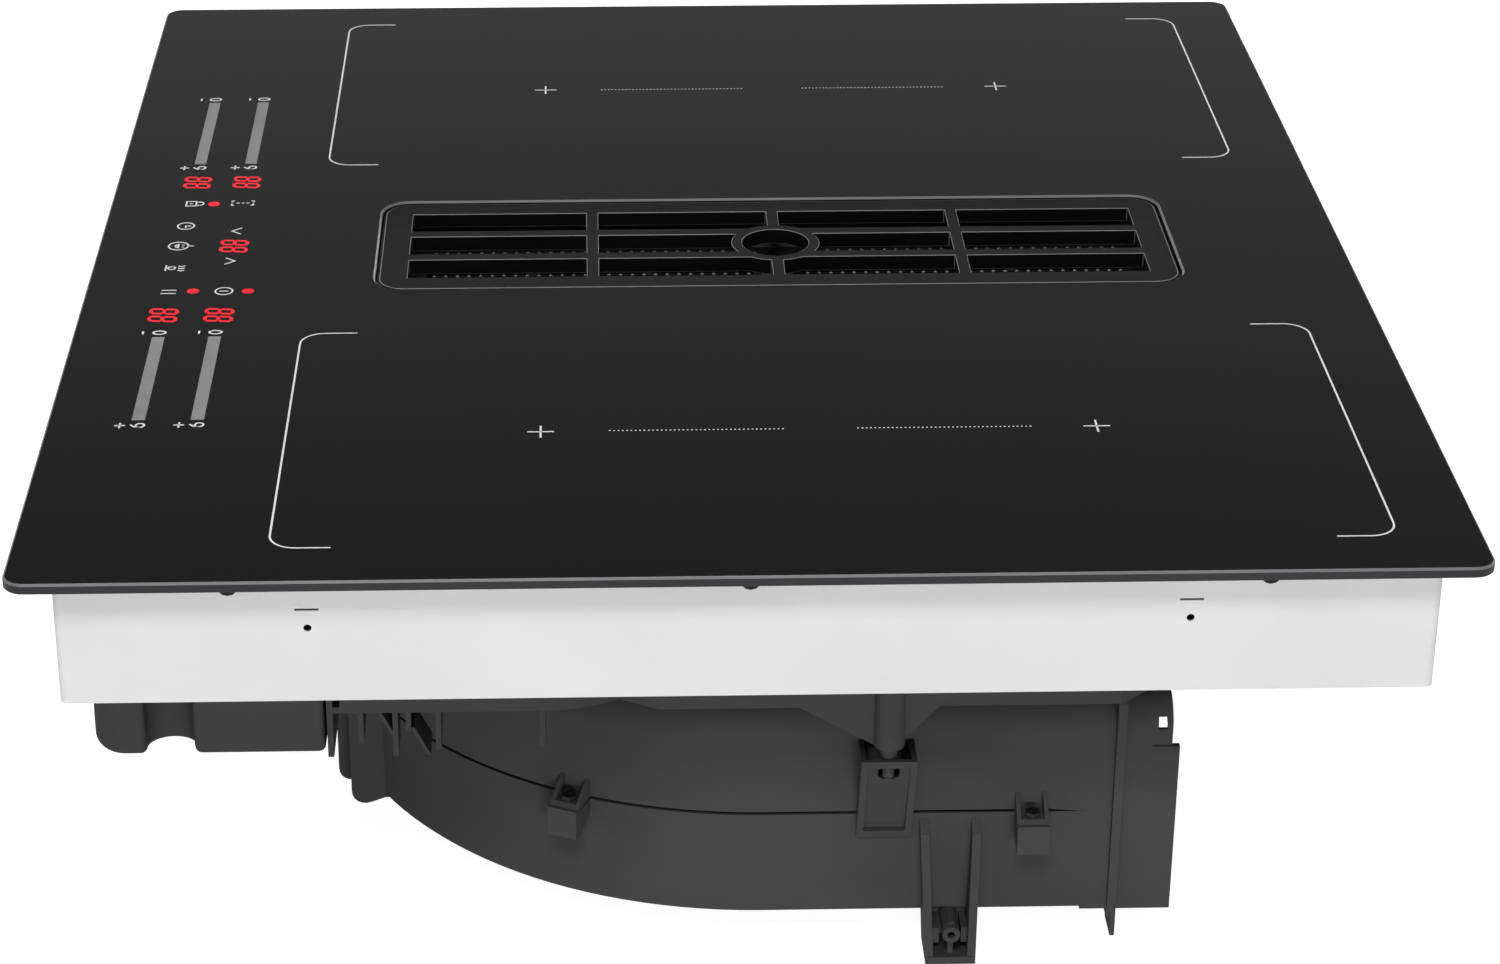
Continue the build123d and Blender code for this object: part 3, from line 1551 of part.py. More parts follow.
with BuildPart() as motor_base:
    disc(base_r, base_low, base_low + base_t, *fan_axis)
    disc(stator_r_in, base_low, tube_top, *fan_axis)
    disc(shaft_r + shaft_clear, base_low + base_t, tube_top, *fan_axis, mode=Mode.SUBTRACT)
    disc(bearing_r, tube_top - bearing_h, tube_top, *fan_axis, mode=Mode.SUBTRACT)
    disc(bearing_r, base_low + base_t, base_low + base_t + bearing_h, *fan_axis, mode=Mode.SUBTRACT)
motor_base.part.label = "motor_base"
export_step(motor_base.part, "parts/motor_base.step")

with BuildPart() as shaft_bearings:
    for low in (base_low + base_t, tube_top - bearing_h):
        disc(bearing_r, low, low + bearing_h, *fan_axis)
        disc(shaft_r + shaft_play, low, low + bearing_h, *fan_axis, mode=Mode.SUBTRACT)
shaft_bearings.part.label = "shaft_bearings"
export_step(shaft_bearings.part, "parts/shaft_bearings.step")

with BuildPart() as motor_board:
    disc(stator_r, board_ring_low, board_ring_low + board_t, *fan_axis)
    disc(stator_r_in, board_ring_low, board_ring_low + board_t, *fan_axis, mode=Mode.SUBTRACT)
motor_board.part.label = "motor_board"
export_step(motor_board.part, "parts/motor_board.step")

# ---------------------------------------------------------------------------
# Screws
# ---------------------------------------------------------------------------

with BuildPart() as scroll_screws:
    for spot in clip_spots:
        disc(screw_r, seam_z - lug_h / 2, seam_z + clip_floor, *clip_screw(*spot))
        with BuildSketch(Plane.XY.offset(seam_z + clip_floor)):
            with Locations(clip_screw(*spot)):
                RegularPolygon(screw_head_r, 6)
        extrude(amount=screw_head_h)
scroll_screws.part.label = "scroll_screws"
export_step(scroll_screws.part, "parts/scroll_screws.step")
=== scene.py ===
# %% [markdown]
# A drop-in induction cooktop with a blower under it. The CAD model is loaded as a fixed frame:
# every solid already sits where it belongs, in metres. This script dresses it. It rebuilds the
# parts that the eye reads first, prints the glass, and gives every piece a finish.

# %% Load the frame
import math
from functools import partial

import bmesh
import bpy
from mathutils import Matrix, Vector


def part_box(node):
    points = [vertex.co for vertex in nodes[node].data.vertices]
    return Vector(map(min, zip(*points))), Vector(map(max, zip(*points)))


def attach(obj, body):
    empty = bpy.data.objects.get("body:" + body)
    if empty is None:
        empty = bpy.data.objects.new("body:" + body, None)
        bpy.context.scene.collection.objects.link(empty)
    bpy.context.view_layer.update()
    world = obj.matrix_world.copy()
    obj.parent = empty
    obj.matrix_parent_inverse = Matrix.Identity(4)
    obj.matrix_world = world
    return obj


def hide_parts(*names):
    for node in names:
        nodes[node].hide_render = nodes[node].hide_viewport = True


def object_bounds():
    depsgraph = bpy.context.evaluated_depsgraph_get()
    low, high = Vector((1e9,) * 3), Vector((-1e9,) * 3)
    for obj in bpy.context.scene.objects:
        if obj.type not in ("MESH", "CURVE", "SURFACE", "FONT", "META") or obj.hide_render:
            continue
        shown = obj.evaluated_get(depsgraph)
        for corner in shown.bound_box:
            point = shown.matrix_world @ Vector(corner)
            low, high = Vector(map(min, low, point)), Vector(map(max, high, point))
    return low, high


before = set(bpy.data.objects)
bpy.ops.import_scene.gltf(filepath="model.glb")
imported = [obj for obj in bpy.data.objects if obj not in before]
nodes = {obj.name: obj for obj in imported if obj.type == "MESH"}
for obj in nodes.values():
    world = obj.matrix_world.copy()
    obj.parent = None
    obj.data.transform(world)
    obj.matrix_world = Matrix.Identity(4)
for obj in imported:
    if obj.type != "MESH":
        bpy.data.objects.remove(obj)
cad_box = [list(corner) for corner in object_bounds()]
MM = 0.001
print("CAD box in mm:", [[round(c / MM, 1) for c in corner] for corner in cad_box])


# %% [markdown]
# A few small helpers carry the whole script. The first turns an sRGB hex code into the linear
# numbers that shaders use. The next adds a node, sets it and links it. The last ones turn a list
# of corner points and faces into a closed mesh object that rides on a body.

# %% Helpers for colours, nodes and meshes
def tone(code):
    """A #RRGGBB code as linear red, green, blue and alpha 1."""
    parts = [int(code[i : i + 2], 16) / 255 for i in (1, 3, 5)]
    return [c / 12.92 if c <= 0.04045 else ((c + 0.055) / 1.055) ** 2.4 for c in parts] + [1.0]


def add(tree, kind, links=(), **settings):
    """One node in tree. settings are its inputs by name (spaces as _) or its own properties.
    links are (input, socket) pairs."""
    made = tree.nodes.new(kind)
    for name, value in settings.items():
        label = name.replace("_", " ")
        match = [s for s in made.inputs if s.name.lower() == label.lower()]
        if match:
            match[0].default_value = value
        else:
            setattr(made, name, value)
    for name, socket in links:
        tree.links.new(socket, made.inputs[name])
    return made


def put(name, data):
    """A new object with this data, linked to the scene."""
    made = bpy.data.objects.new(name, data)
    bpy.context.scene.collection.objects.link(made)
    return made


def face_outwards(made):
    """Turns every face of a closed piece to the outside."""
    mesh = bmesh.new()
    mesh.from_mesh(made.data)
    bmesh.ops.recalc_face_normals(mesh, faces=mesh.faces)
    mesh.to_mesh(made.data)
    mesh.free()


def piece(name, verts, faces, body, *finishes):
    """A closed mesh object from points in millimetres, riding on a CAD body."""
    mesh = bpy.data.meshes.new(name)
    mesh.from_pydata([[c * MM for c in v] for v in verts], [], faces)
    mesh.validate()
    made = put(name, mesh)
    for one in finishes:
        mesh.materials.append(one)
    face_outwards(made)
    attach(made, body)
    return made


# %% [markdown]
# A finish starts from what the surface is. Moulded plastic is spark-eroded in its mould, so it
# carries a fine grain. Enamel flows and leaves a soft orange peel. Sheet steel shows a faint
# mottle of its zinc. One function builds them all: a base colour, a second colour that a noise
# mixes in, a roughness and a bump whose grain is a real size in millimetres.

# %% A function for grained finishes
# the wide mottle of a surface: its size in mm, and how far its two colours run into each other
cloud_mm, cloud_spread = 60, 0.35


def two_tones(tree, factor, first, second, spread=1.0):
    """The colour that this factor picks between two hex codes."""
    ramp = add(tree, "ShaderNodeValToRGB", [("Fac", factor)])
    for element, way, code in zip(ramp.color_ramp.elements, (-1, 1), (first, second)):
        element.position = 0.5 + way * spread / 2
        element.color = tone(code)
    return ramp.outputs["Color"]


def dress(tree, colour, height, strength, depth_mm):
    """Links a colour and a bump of this depth to the shader, and returns the shader."""
    bump = add(
        tree, "ShaderNodeBump", [("Height", height)], Strength=strength, Distance=depth_mm * MM
    )
    shader = tree.nodes["Principled BSDF"]
    tree.links.new(colour, shader.inputs["Base Color"])
    tree.links.new(bump.outputs["Normal"], shader.inputs["Normal"])
    return shader


def finish(name, base, second, rough, grain_mm, bump_mm, metal=0.0, level=0.5):
    """A surface whose colour and height vary with a noise of grain_mm."""
    made = bpy.data.materials.new(name)
    made.use_nodes = True
    tree = made.node_tree
    place = add(tree, "ShaderNodeTexCoord")
    grain = add(
        tree, "ShaderNodeTexNoise", [("Vector", place.outputs["Object"])],
        Scale=1 / (grain_mm * MM), Detail=2.0, Roughness=0.6,
    )
    cloud = add(
        tree, "ShaderNodeTexNoise", [("Vector", place.outputs["Object"])],
        Scale=1 / (cloud_mm * MM), Detail=3.0, Roughness=0.5,
    )
    colour = two_tones(tree, cloud.outputs["Fac"], base, second, cloud_spread)
    shader = dress(tree, colour, grain.outputs["Fac"], 0.6, bump_mm)
    shader.inputs["Roughness"].default_value = rough
    shader.inputs["Metallic"].default_value = metal
    shader.inputs["Specular IOR Level"].default_value = level
    return made


# glass ceramic, ground and polished: near black, with a weak even reflection
glass_ceramic = finish("glass_ceramic", "#060607", "#070708", 0.16, 3.0, 0.0004, level=0.022)
# the ground edge scatters light, so it is paler and rough; its bevel is paler still, a painted
# highlight along the top edge of the glass
ground_edge = finish("ground_glass_edge", "#262628", "#2A2A2C", 0.5, 0.3, 0.01, level=0.15)
glass_bevel_highlight = finish("ground_glass_bevel", "#5A5A5C", "#626264", 0.4, 0.3, 0.006, level=0.4)
# ceramic ink fired into the glass: matt and slightly broken
white_ink = finish("fired_white_ink", "#FAFAFA", "#F2F2F2", 0.7, 0.4, 0.004, level=0.2)
grey_ink = finish("fired_grey_ink", "#B4B4B4", "#AAAAAA", 0.7, 0.4, 0.004, level=0.2)
# injection-moulded polypropylene with a spark-eroded grain
moulded_black = finish("moulded_black_pp", "#424242", "#464646", 0.6, 0.5, 0.012, level=0.01)
nylon_black = finish("glass_filled_nylon", "#121212", "#191919", 0.5, 0.7, 0.02, level=0.1)
wheel_plastic = finish("wheel_polypropylene", "#26272A", "#2E2F32", 0.45, 0.8, 0.02)
nylon_pale = finish("natural_nylon", "#D6D5CE", "#C8C6BD", 0.5, 0.7, 0.01)
# enamel over stamped steel: satin, with orange peel
satin_enamel = finish("satin_black_enamel", "#0F0F10", "#131314", 0.5, 1.6, 0.01, level=0.03)
# a pale line of enamel on each rounded edge of the grille is a painted highlight, for the light
# that those edges catch
enamel_edge_highlight = finish("thin_enamel_on_edges", "#6E6E70", "#767678", 0.4, 1.6, 0.006, level=0.4)
filter_coat = finish("coated_filter_mesh", "#101010", "#161616", 0.55, 0.6, 0.02, level=0.1)
# the crests of the mesh are rubbed bare by washing
bare_crest = finish("rubbed_steel_crest", "#8E8E90", "#A0A0A2", 0.35, 0.4, 0.01, metal=1.0)
# powder-coated sheet steel, pale grey
sheet_white = finish("powder_coated_sheet", "#D2D2D2", "#D8D8D8", 0.5, 0.9, 0.006, level=0.3)
foam = finish("closed_cell_foam", "#161616", "#242424", 0.9, 0.7, 0.12)
rubber = finish("bonded_rubber", "#141414", "#1C1C1C", 0.75, 0.5, 0.02)
mica = finish("mica_sheet", "#A89877", "#BCAE8C", 0.35, 2.0, 0.01)
former = finish("heatproof_moulding", "#CFCABD", "#BDB6A6", 0.6, 0.9, 0.02)
ferrite = finish("sintered_ferrite", "#232427", "#303236", 0.6, 0.5, 0.03)
aluminium = finish("bare_aluminium", "#C4C6C8", "#D2D3D5", 0.32, 0.25, 0.006, metal=1.0)
steel = finish("turned_steel", "#B4B4B6", "#C2C2C4", 0.28, 0.2, 0.004, metal=1.0)
# zinc-plated screws, passivated black
black_zinc = finish("black_passivated_zinc", "#38383A", "#444446", 0.45, 0.4, 0.01, metal=1.0)
capacitor = finish("film_capacitor_case", "#C99A2C", "#B98A22", 0.35, 1.0, 0.006)
magnet = finish("bonded_magnet", "#2B2B2E", "#38383B", 0.55, 0.6, 0.02)
print("grained finishes:", len(bpy.data.materials))


# %% [markdown]
# Three finishes inside need a pattern that a plain noise can't give. A coil is wound from litz
# wire, so its turns show as fine rings. A circuit board shows its copper tracks through green
# lacquer. A choke is wound with lacquered wire in straight turns.

# %% Wound and etched finishes
def wound(name, dark, light, pitch_mm, centre=None):
    """Rings of wire round centre, or straight turns of wire along X where there is none."""
    made = finish(name, dark, light, 0.4, 0.4, 0.01)
    tree = made.node_tree
    place = add(tree, "ShaderNodeTexCoord")
    shift = add(tree, "ShaderNodeMapping", [("Vector", place.outputs["Object"])])
    if centre:
        shift.inputs["Location"].default_value = [-c * MM for c in centre]
    wave = add(
        tree, "ShaderNodeTexWave", [("Vector", shift.outputs["Vector"])],
        Scale=math.pi / 10 / (pitch_mm * MM), Distortion=0.0,
        wave_type="RINGS" if centre else "BANDS", rings_direction="Z",
    )
    colour = two_tones(tree, wave.outputs["Fac"], dark, light)
    dress(tree, colour, wave.outputs["Fac"], 0.8, 0.3)
    return made


def etched(name):
    """Green lacquer with paler tracks on a 2.5 mm grid."""
    made = finish(name, "#0F4A25", "#155A2E", 0.3, 0.5, 0.004)
    tree = made.node_tree
    shader = tree.nodes["Principled BSDF"]
    place = add(tree, "ShaderNodeTexCoord")
    tracks = add(
        tree, "ShaderNodeTexBrick", [("Vector", place.outputs["Object"])],
        Scale=1 / (25 * MM), Mortar_Size=0.03, Brick_Width=0.7, Row_Height=0.22,
        Color1=tone("#114E28"), Color2=tone("#16592F"), Mortar=tone("#3C8A4C"),
    )
    tree.links.new(tracks.outputs["Color"], shader.inputs["Base Color"])
    return made


zone_x, zone_front, zone_rear = 179.5, -74.2, 134.5
coil_finish = {}
for hand, way in (("right", 1), ("left", -1)):
    for end, y in (("front", zone_front), ("rear", zone_rear)):
        coil_finish[f"coil_{end}_{hand}"] = wound(
            f"litz_{end}_{hand}", "#6E3417", "#C4753F", 2.6, (way * zone_x, y, 0)
        )
choke_wire = wound("lacquered_winding", "#4A2410", "#9A5526", 1.4)
board_green = etched("circuit_board")


# %% [markdown]
# The red figures and lamps glow by themselves, so they get emission. Its strength is kept low,
# so that the red stays red and doesn't wash out to pink.

# %% Glowing red
def glow(name, colour, strength):
    """A plain finish that also gives light of its own colour."""
    made = finish(name, colour, colour, 0.5, 1.0, 0.001, level=0.1)
    shader = made.node_tree.nodes["Principled BSDF"]
    shader.inputs["Emission Color"].default_value = tone(colour)
    shader.inputs["Emission Strength"].default_value = strength
    return made


red_segment = glow("red_segment", "#DC1E28", 0.62)
red_lamp = glow("red_lamp", "#DC1A26", 0.66)

# %% [markdown]
# Every CAD node gets the finish of what it is. The nodes that this script rebuilds are hidden
# later, but they get one too, so nothing is ever bare.

# %% Finishes of the CAD nodes
wearing = {
    glass_ceramic: ["glass_panel"],
    foam: ["worktop_seal", "inlet_gasket"],
    moulded_black: [
        "vent_collar", "air_well", "base_casing", "overflow_tank", "scroll_upper", "scroll_lower",
        "outlet_collar", "inlet_ring", "filter_grip",
    ],
    satin_enamel: ["intake_grille"],
    filter_coat: ["filter_frame", "filter_plates"],
    sheet_white: ["housing_pan", "tank_rails"],
    nylon_pale: ["terminal_block"],
    mica: ["mica_sheets"],
    former: ["coil_formers", "zone_sensors", "touch_pads"],
    ferrite: ["ferrite_bars"],
    aluminium: ["coil_trays", "heat_sink_left", "heat_sink_right", "motor_base"],
    nylon_black: [
        "tray_posts", "board_standoffs", "fan_frames", "fan_rotor_left", "fan_rotor_right",
        "cable_gland", "gland_nut", "control_holder", "edge_buttons",
    ],
    board_green: [
        "power_board_left", "power_board_right", "mains_board", "control_board", "motor_board",
    ],
    capacitor: ["capacitors"],
    choke_wire: ["filter_chokes", "motor_stator"],
    red_segment: ["displays"],
    rubber: ["rubber_buffers"],
    wheel_plastic: ["impeller"],
    steel: ["rotor_can", "motor_shaft", "shaft_bearings"],
    magnet: ["rotor_magnets"],
    black_zinc: ["scroll_screws"],
}
for coil_name, coil_wire in coil_finish.items():
    wearing[coil_wire] = [coil_name]
dressed = []
for material, names in wearing.items():
    for name in names:
        nodes[name].data.materials.clear()
        nodes[name].data.materials.append(material)
        dressed.append(name)
print("nodes dressed:", len(dressed), "left bare:", sorted(set(nodes) - set(dressed)))

# %% [markdown]
# The glass is the face of the whole object. Real glass ceramic has a thin ground edge that
# catches the light, so the slab is rebuilt with a small two-step bevel. Its top lies a few
# hundredths of a millimetre low, which leaves room for the ink on it.

# %% The glass top
glass_low, glass_high = (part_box("glass_panel")[i].z / MM for i in (0, 1))
ink_rise = 0.04
glass_x, glass_y, glass_round = 590.0, 520.0, 8.0
vent_x, vent_y, vent_cy, vent_round = 92.0, 332.0, 23.0, 12.0


def round_rect(x, y, cy, radius, steps=8):
    """Corner points of a rounded rectangle in plan, counter-clockwise."""
    points = []
    for k, (sx, sy) in enumerate(((1, 1), (-1, 1), (-1, -1), (1, -1))):
        for i in range(steps + 1):
            turn = math.radians(90 * k + 90 * i / steps)
            points.append(
                (
                    sx * (x / 2 - radius) + radius * math.cos(turn),
                    cy + sy * (y / 2 - radius) + radius * math.sin(turn),
                )
            )
    return points


def ring_stack(name, rings, body, *finishes):
    """Joins rings of equal length, each (points, z), into a closed skin, the last to the first."""
    verts = [(x, y, z) for points, z in rings for x, y in points]
    n = len(rings[0][0])
    faces = []
    for a in range(len(rings)):
        b = (a + 1) % len(rings)
        for i in range(n):
            j = (i + 1) % n
            faces.append((a * n + i, a * n + j, b * n + j, b * n + i))
    return piece(name, verts, faces, body, *finishes)


foot, edge = 0.3, 0.8
top = glass_high - ink_rise
glass_rings = [
    (round_rect(glass_x - 2 * foot, glass_y - 2 * foot, 0, glass_round - foot), glass_low),
    (round_rect(glass_x, glass_y, 0, glass_round), glass_low + foot),
    (round_rect(glass_x, glass_y, 0, glass_round), top - edge),
    (round_rect(glass_x - edge, glass_y - edge, 0, glass_round - edge / 2), top - edge / 4),
    (round_rect(glass_x - 2 * edge, glass_y - 2 * edge, 0, glass_round - edge), top),
    (round_rect(vent_x + 2 * edge, vent_y + 2 * edge, vent_cy, vent_round + edge), top),
    (round_rect(vent_x, vent_y, vent_cy, vent_round), top - edge),
    (round_rect(vent_x, vent_y, vent_cy, vent_round), glass_low),
]
glass_sheet = ring_stack(
    "glass_sheet", glass_rings, "base", glass_ceramic, ground_edge, glass_bevel_highlight
)
# flat faces keep the first finish; walls get the second, the bevels at the top the third, which
# paints a highlight on them
for face in glass_sheet.data.polygons:
    heights = [glass_sheet.data.vertices[v].co.z / MM for v in face.vertices]
    if max(heights) - min(heights) > 0.05:
        face.material_index = 2 if min(heights) > glass_low + 1 else 1
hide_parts("glass_panel")
print("glass faces:", len(glass_sheet.data.polygons))

# %% [markdown]
# The prints are lines of fired ink. Each is drawn as a flat strip of real width along a line of
# points, with mitred corners. All strips of one colour make one mesh, sunk a little into the
# glass, so that it can't flicker against it.

# %% Strips of ink
ink_low, ink_high = glass_high - 0.12, glass_high


def strip(points, width, closed=False):
    """One flat strip of ink along points: (vertices, faces)."""
    path = [Vector(p) for p in points]
    count = len(path)
    verts, faces = [], []
    for i, here in enumerate(path):
        before = path[(i - 1) % count] if closed or i > 0 else None
        after = path[(i + 1) % count] if closed or i < count - 1 else None
        one = (here - before).normalized() if before is not None else (after - here).normalized()
        two = (after - here).normalized() if after is not None else one
        side = Vector((-(one.y + two.y), one.x + two.x)).normalized()
        reach = width / 2 / max(side.dot(Vector((-one.y, one.x))), 0.5)
        for sign in (1, -1):
            spot = here + side * reach * sign
            verts.append((spot.x, spot.y, ink_high))
            verts.append((spot.x, spot.y, ink_low))
    last = count if closed else count - 1
    for i in range(last):
        a, b = 4 * i, 4 * ((i + 1) % count)
        faces += [(a, a + 2, b + 2, b), (a + 1, b + 1, b + 3, a + 3)]
        faces += [(a, b, b + 1, a + 1), (a + 2, a + 3, b + 3, b + 2)]
    if not closed:
        end = 4 * (count - 1)
        faces += [(0, 1, 3, 2), (end, end + 2, end + 3, end + 1)]
    return verts, faces


def disc(x, y, radius, steps=20):
    """A round dot of ink."""
    verts, faces = [], []
    for z in (ink_high, ink_low):
        for i in range(steps):
            turn = 2 * math.pi * i / steps
            verts.append((x + radius * math.cos(turn), y + radius * math.sin(turn), z))
    faces.append(tuple(range(steps)))
    faces.append(tuple(reversed(range(steps, 2 * steps))))
    for i in range(steps):
        j = (i + 1) % steps
        faces.append((i, steps + i, steps + j, j))
    return verts, faces


def printed(name, shapes, material):
    """All these shapes as one mesh of ink on the glass."""
    verts, faces = [], []
    for shape_verts, shape_faces in shapes:
        start = len(verts)
        verts += shape_verts
        faces += [tuple(start + v for v in face) for face in shape_faces]
    made = piece(name, verts, faces, "base", material)
    print(name, "faces:", len(made.data.polygons))


def arc(cx, cy, radius, start, end, steps=10):
    """Points along an arc, angles in degrees."""
    return [
        (
            cx + radius * math.cos(math.radians(start + (end - start) * i / steps)),
            cy + radius * math.sin(math.radians(start + (end - start) * i / steps)),
        )
        for i in range(steps + 1)
    ]


# %% [markdown]
# The cooking zones are marked by two corner brackets each, four crosses in all and dotted lines
# between them. The dots repeat, so a Geometry Nodes tree sets them out along a line.

# %% Zone marks
line_w, cross_arm = 0.75, 5.0
zone_in, zone_out, bracket_round = 89.0, 270.0, 9.5
# each bracket lies along its first y, and its arms end at the second
bracket_rows = ((-169.4, -147.4), (229.8, 207.7))
marks = []
for side in (1, -1):
    near, far = side * zone_out, side * zone_in
    for base_y, arm_y in bracket_rows:
        up = 1 if arm_y > base_y else -1
        corner = []
        for x, toward in ((far, side), (near, -side)):
            start = 180 if toward > 0 else 0
            sweep = 90 if (toward > 0) == (up > 0) else -90
            middle = (x + toward * bracket_round, base_y + up * bracket_round)
            corner.append(arc(*middle, bracket_round, start, start + sweep))
        marks.append(strip([(far, arm_y)] + corner[0] + corner[1][::-1] + [(near, arm_y)], line_w))
    x = side * zone_x
    for y in (zone_front, zone_rear):
        marks.append(strip([(x - cross_arm, y), (x + cross_arm, y)], line_w))
        marks.append(strip([(x, y - cross_arm), (x, y + cross_arm)], line_w))
printed("zone_marks", marks, white_ink)

# %% [markdown]
# Dots and strokes repeat at an even pitch, so they are grown and not drawn. A Geometry Nodes tree
# puts one small shape on each point of a line. Its named inputs give the start, the step, the
# count, the size and the finish. The result is kept as a plain mesh, since it must travel without
# its tree.

# %% A tree that repeats a small shape along a line
def new_tree(name, **kinds):
    """A Geometry Nodes tree with these named inputs (spaces as _), and its input node."""
    tree = bpy.data.node_groups.new(name, "GeometryNodeTree")
    for label, kind in kinds.items():
        tree.interface.new_socket(
            label.replace("_", " "), in_out="INPUT", socket_type="NodeSocket" + kind
        )
    tree.interface.new_socket("Geometry", in_out="OUTPUT", socket_type="NodeSocketGeometry")
    return tree, add(tree, "NodeGroupInput")


def in_finish(tree, geometry, material):
    """The geometry with this material on it."""
    made = add(
        tree, "GeometryNodeSetMaterial", [("Geometry", geometry), ("Material", material)]
    )
    return made.outputs[0]


def repeat_tree(name, shape_kind):
    """A Geometry Nodes tree: a row of flat bars or dots, with named inputs."""
    tree, given = new_tree(
        name, Start="Vector", Step="Vector", Count="Int", Size="Vector", Finish="Material"
    )
    row = add(
        tree, "GeometryNodeMeshLine",
        [
            ("Count", given.outputs["Count"]),
            ("Start Location", given.outputs["Start"]),
            ("Offset", given.outputs["Step"]),
        ],
        mode="OFFSET",
    )
    if shape_kind == "bar":
        shape = add(tree, "GeometryNodeMeshCube", [("Size", given.outputs["Size"])])
    else:
        unit = add(tree, "GeometryNodeMeshCylinder", Vertices=10, Radius=0.5, Depth=1.0)
        shape = add(
            tree, "GeometryNodeTransform",
            [("Geometry", unit.outputs["Mesh"]), ("Scale", given.outputs["Size"])],
        )
    copies = add(
        tree, "GeometryNodeInstanceOnPoints",
        [("Points", row.outputs["Mesh"]), ("Instance", shape.outputs[0])],
    )
    whole = add(tree, "GeometryNodeRealizeInstances", [("Geometry", copies.outputs["Instances"])])
    coloured = in_finish(tree, whole.outputs["Geometry"], given.outputs["Finish"])
    add(tree, "NodeGroupOutput", [("Geometry", coloured)])
    return tree


def grow(name, tree, body, **values):
    """Runs a tree once with these inputs (spaces as _) and keeps its result as a plain mesh."""
    seed = put(name + "_seed", bpy.data.meshes.new(name + "_seed"))
    maker = seed.modifiers.new("maker", "NODES")
    maker.node_group = tree
    for item in tree.interface.items_tree:
        if item.in_out == "INPUT":
            maker[item.identifier] = values[item.name.replace(" ", "_")]
    bpy.context.view_layer.update()
    done = seed.evaluated_get(bpy.context.evaluated_depsgraph_get())
    grown = bpy.data.meshes.new_from_object(done)
    bpy.data.objects.remove(seed)
    made = put(name, grown)
    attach(made, body)
    return made


row_of_bars = repeat_tree("row_of_bars", "bar")
row_of_dots = repeat_tree("row_of_dots", "dot")


def join(name, objects, body):
    """Several plain meshes of one body as one piece."""
    mesh = bmesh.new()
    materials = []
    for one in objects:
        offset = len(materials)
        materials += [m for m in one.data.materials]
        before = len(mesh.faces)
        mesh.from_mesh(one.data)
        mesh.faces.ensure_lookup_table()
        for face in mesh.faces[before:]:
            face.material_index += offset
    whole = bpy.data.meshes.new(name)
    unique = []
    for m in materials:
        if m not in unique:
            unique.append(m)
    for face in mesh.faces:
        face.material_index = unique.index(materials[face.material_index])
    mesh.to_mesh(whole)
    mesh.free()
    for m in unique:
        whole.materials.append(m)
    for one in objects:
        bpy.data.objects.remove(one)
    made = put(name, whole)
    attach(made, body)
    return made


ink_mid = (ink_high + ink_low) / 2
ink_t = ink_high - ink_low
dot_pitch, dot_d, dot_x, dot_count = 1.62, 0.75, 179.2, 41
rows = []
for side in (1, -1):
    for first in (-48.3, 44.8):
        rows.append(
            grow(
                "dots", row_of_dots, "base", Count=dot_count, Finish=white_ink,
                Start=(side * dot_x * MM, first * MM, ink_mid * MM),
                Step=(0, dot_pitch * MM, 0), Size=(dot_d * MM, dot_d * MM, ink_t * MM),
            )
        )
dotted = join("zone_dots", rows, "base")
print("dots:", dot_count * len(rows))

# %% [markdown]
# Four sliders set the heat. Each is a bar of fine upright strokes, 75 by 5 mm, with a plus and a
# minus at its ends. Plain figures stand beside them.

# %% Sliders
stroke_pitch, stroke_w, stroke_high, stroke_count = 0.94, 0.62, 5.0, 80
slider_starts, slider_rows = (-166.5, 91.0), (-225.8, -203.6)
slider_long, low_gap, high_gap = 75.0, 4.2, 4.4
mark_w, figure_r, hint_drop = 0.8, 1.6, 6.5
rows = []
slider_marks = []


def mark(points, closed=False):
    """Draws one line of a slider's figures."""
    slider_marks.append(strip(points, mark_w, closed))


for start_x in slider_starts:
    for y in slider_rows:
        rows.append(
            grow(
                "strokes", row_of_bars, "base", Count=stroke_count, Finish=grey_ink,
                Start=((start_x + stroke_w / 2) * MM, y * MM, ink_mid * MM),
                Step=(stroke_pitch * MM, 0, 0), Size=(stroke_w * MM, stroke_high * MM, ink_t * MM),
            )
        )
        low_x, high_x = start_x - low_gap, start_x + slider_long + high_gap
        # the figure 0 at the low end and 9 at the high end
        turns = [t / 10 * math.pi for t in range(20)]
        mark([(low_x + figure_r * math.cos(t), y + 2.5 * math.sin(t)) for t in turns], closed=True)
        mark(arc(high_x, y + 1.1, figure_r, 0, 345, 16), closed=True)
        mark([(high_x + figure_r, y + 1.1), (high_x + 1.3, y - 1.0), (high_x - 0.6, y - 2.6)])
        # minus and plus stand a little nearer to the user
        hint_y = y - hint_drop
        mark([(low_x - 1.4, hint_y), (low_x + 1.4, hint_y)])
        mark([(high_x - 2.2, hint_y), (high_x + 2.2, hint_y)])
        mark([(high_x, hint_y - 2.0), (high_x, hint_y + 2.0)])
slider_bars = join("slider_bars", rows, "base")
printed("slider_marks", slider_marks, white_ink)

# %% [markdown]
# Five displays show two figures each. One figure is seven bars with pointed ends, leaned a
# little, as such displays are. All light up, as in the picture.

# %% Seven-segment figures
figure_w, figure_h, bar_w, bar_gap, lean, figure_apart = 5.8, 12.0, 1.5, 0.18, 0.09, 3.6


def segment(x0, y0, x1, y1):
    """One bar of a figure as a six-sided outline."""
    a, b = Vector((x0, y0)), Vector((x1, y1))
    along = (b - a).normalized()
    side = Vector((-along.y, along.x)) * bar_w / 2
    tip = along * bar_w / 2
    return [a, a + tip + side, b - tip + side, b, b - tip - side, a + tip - side]


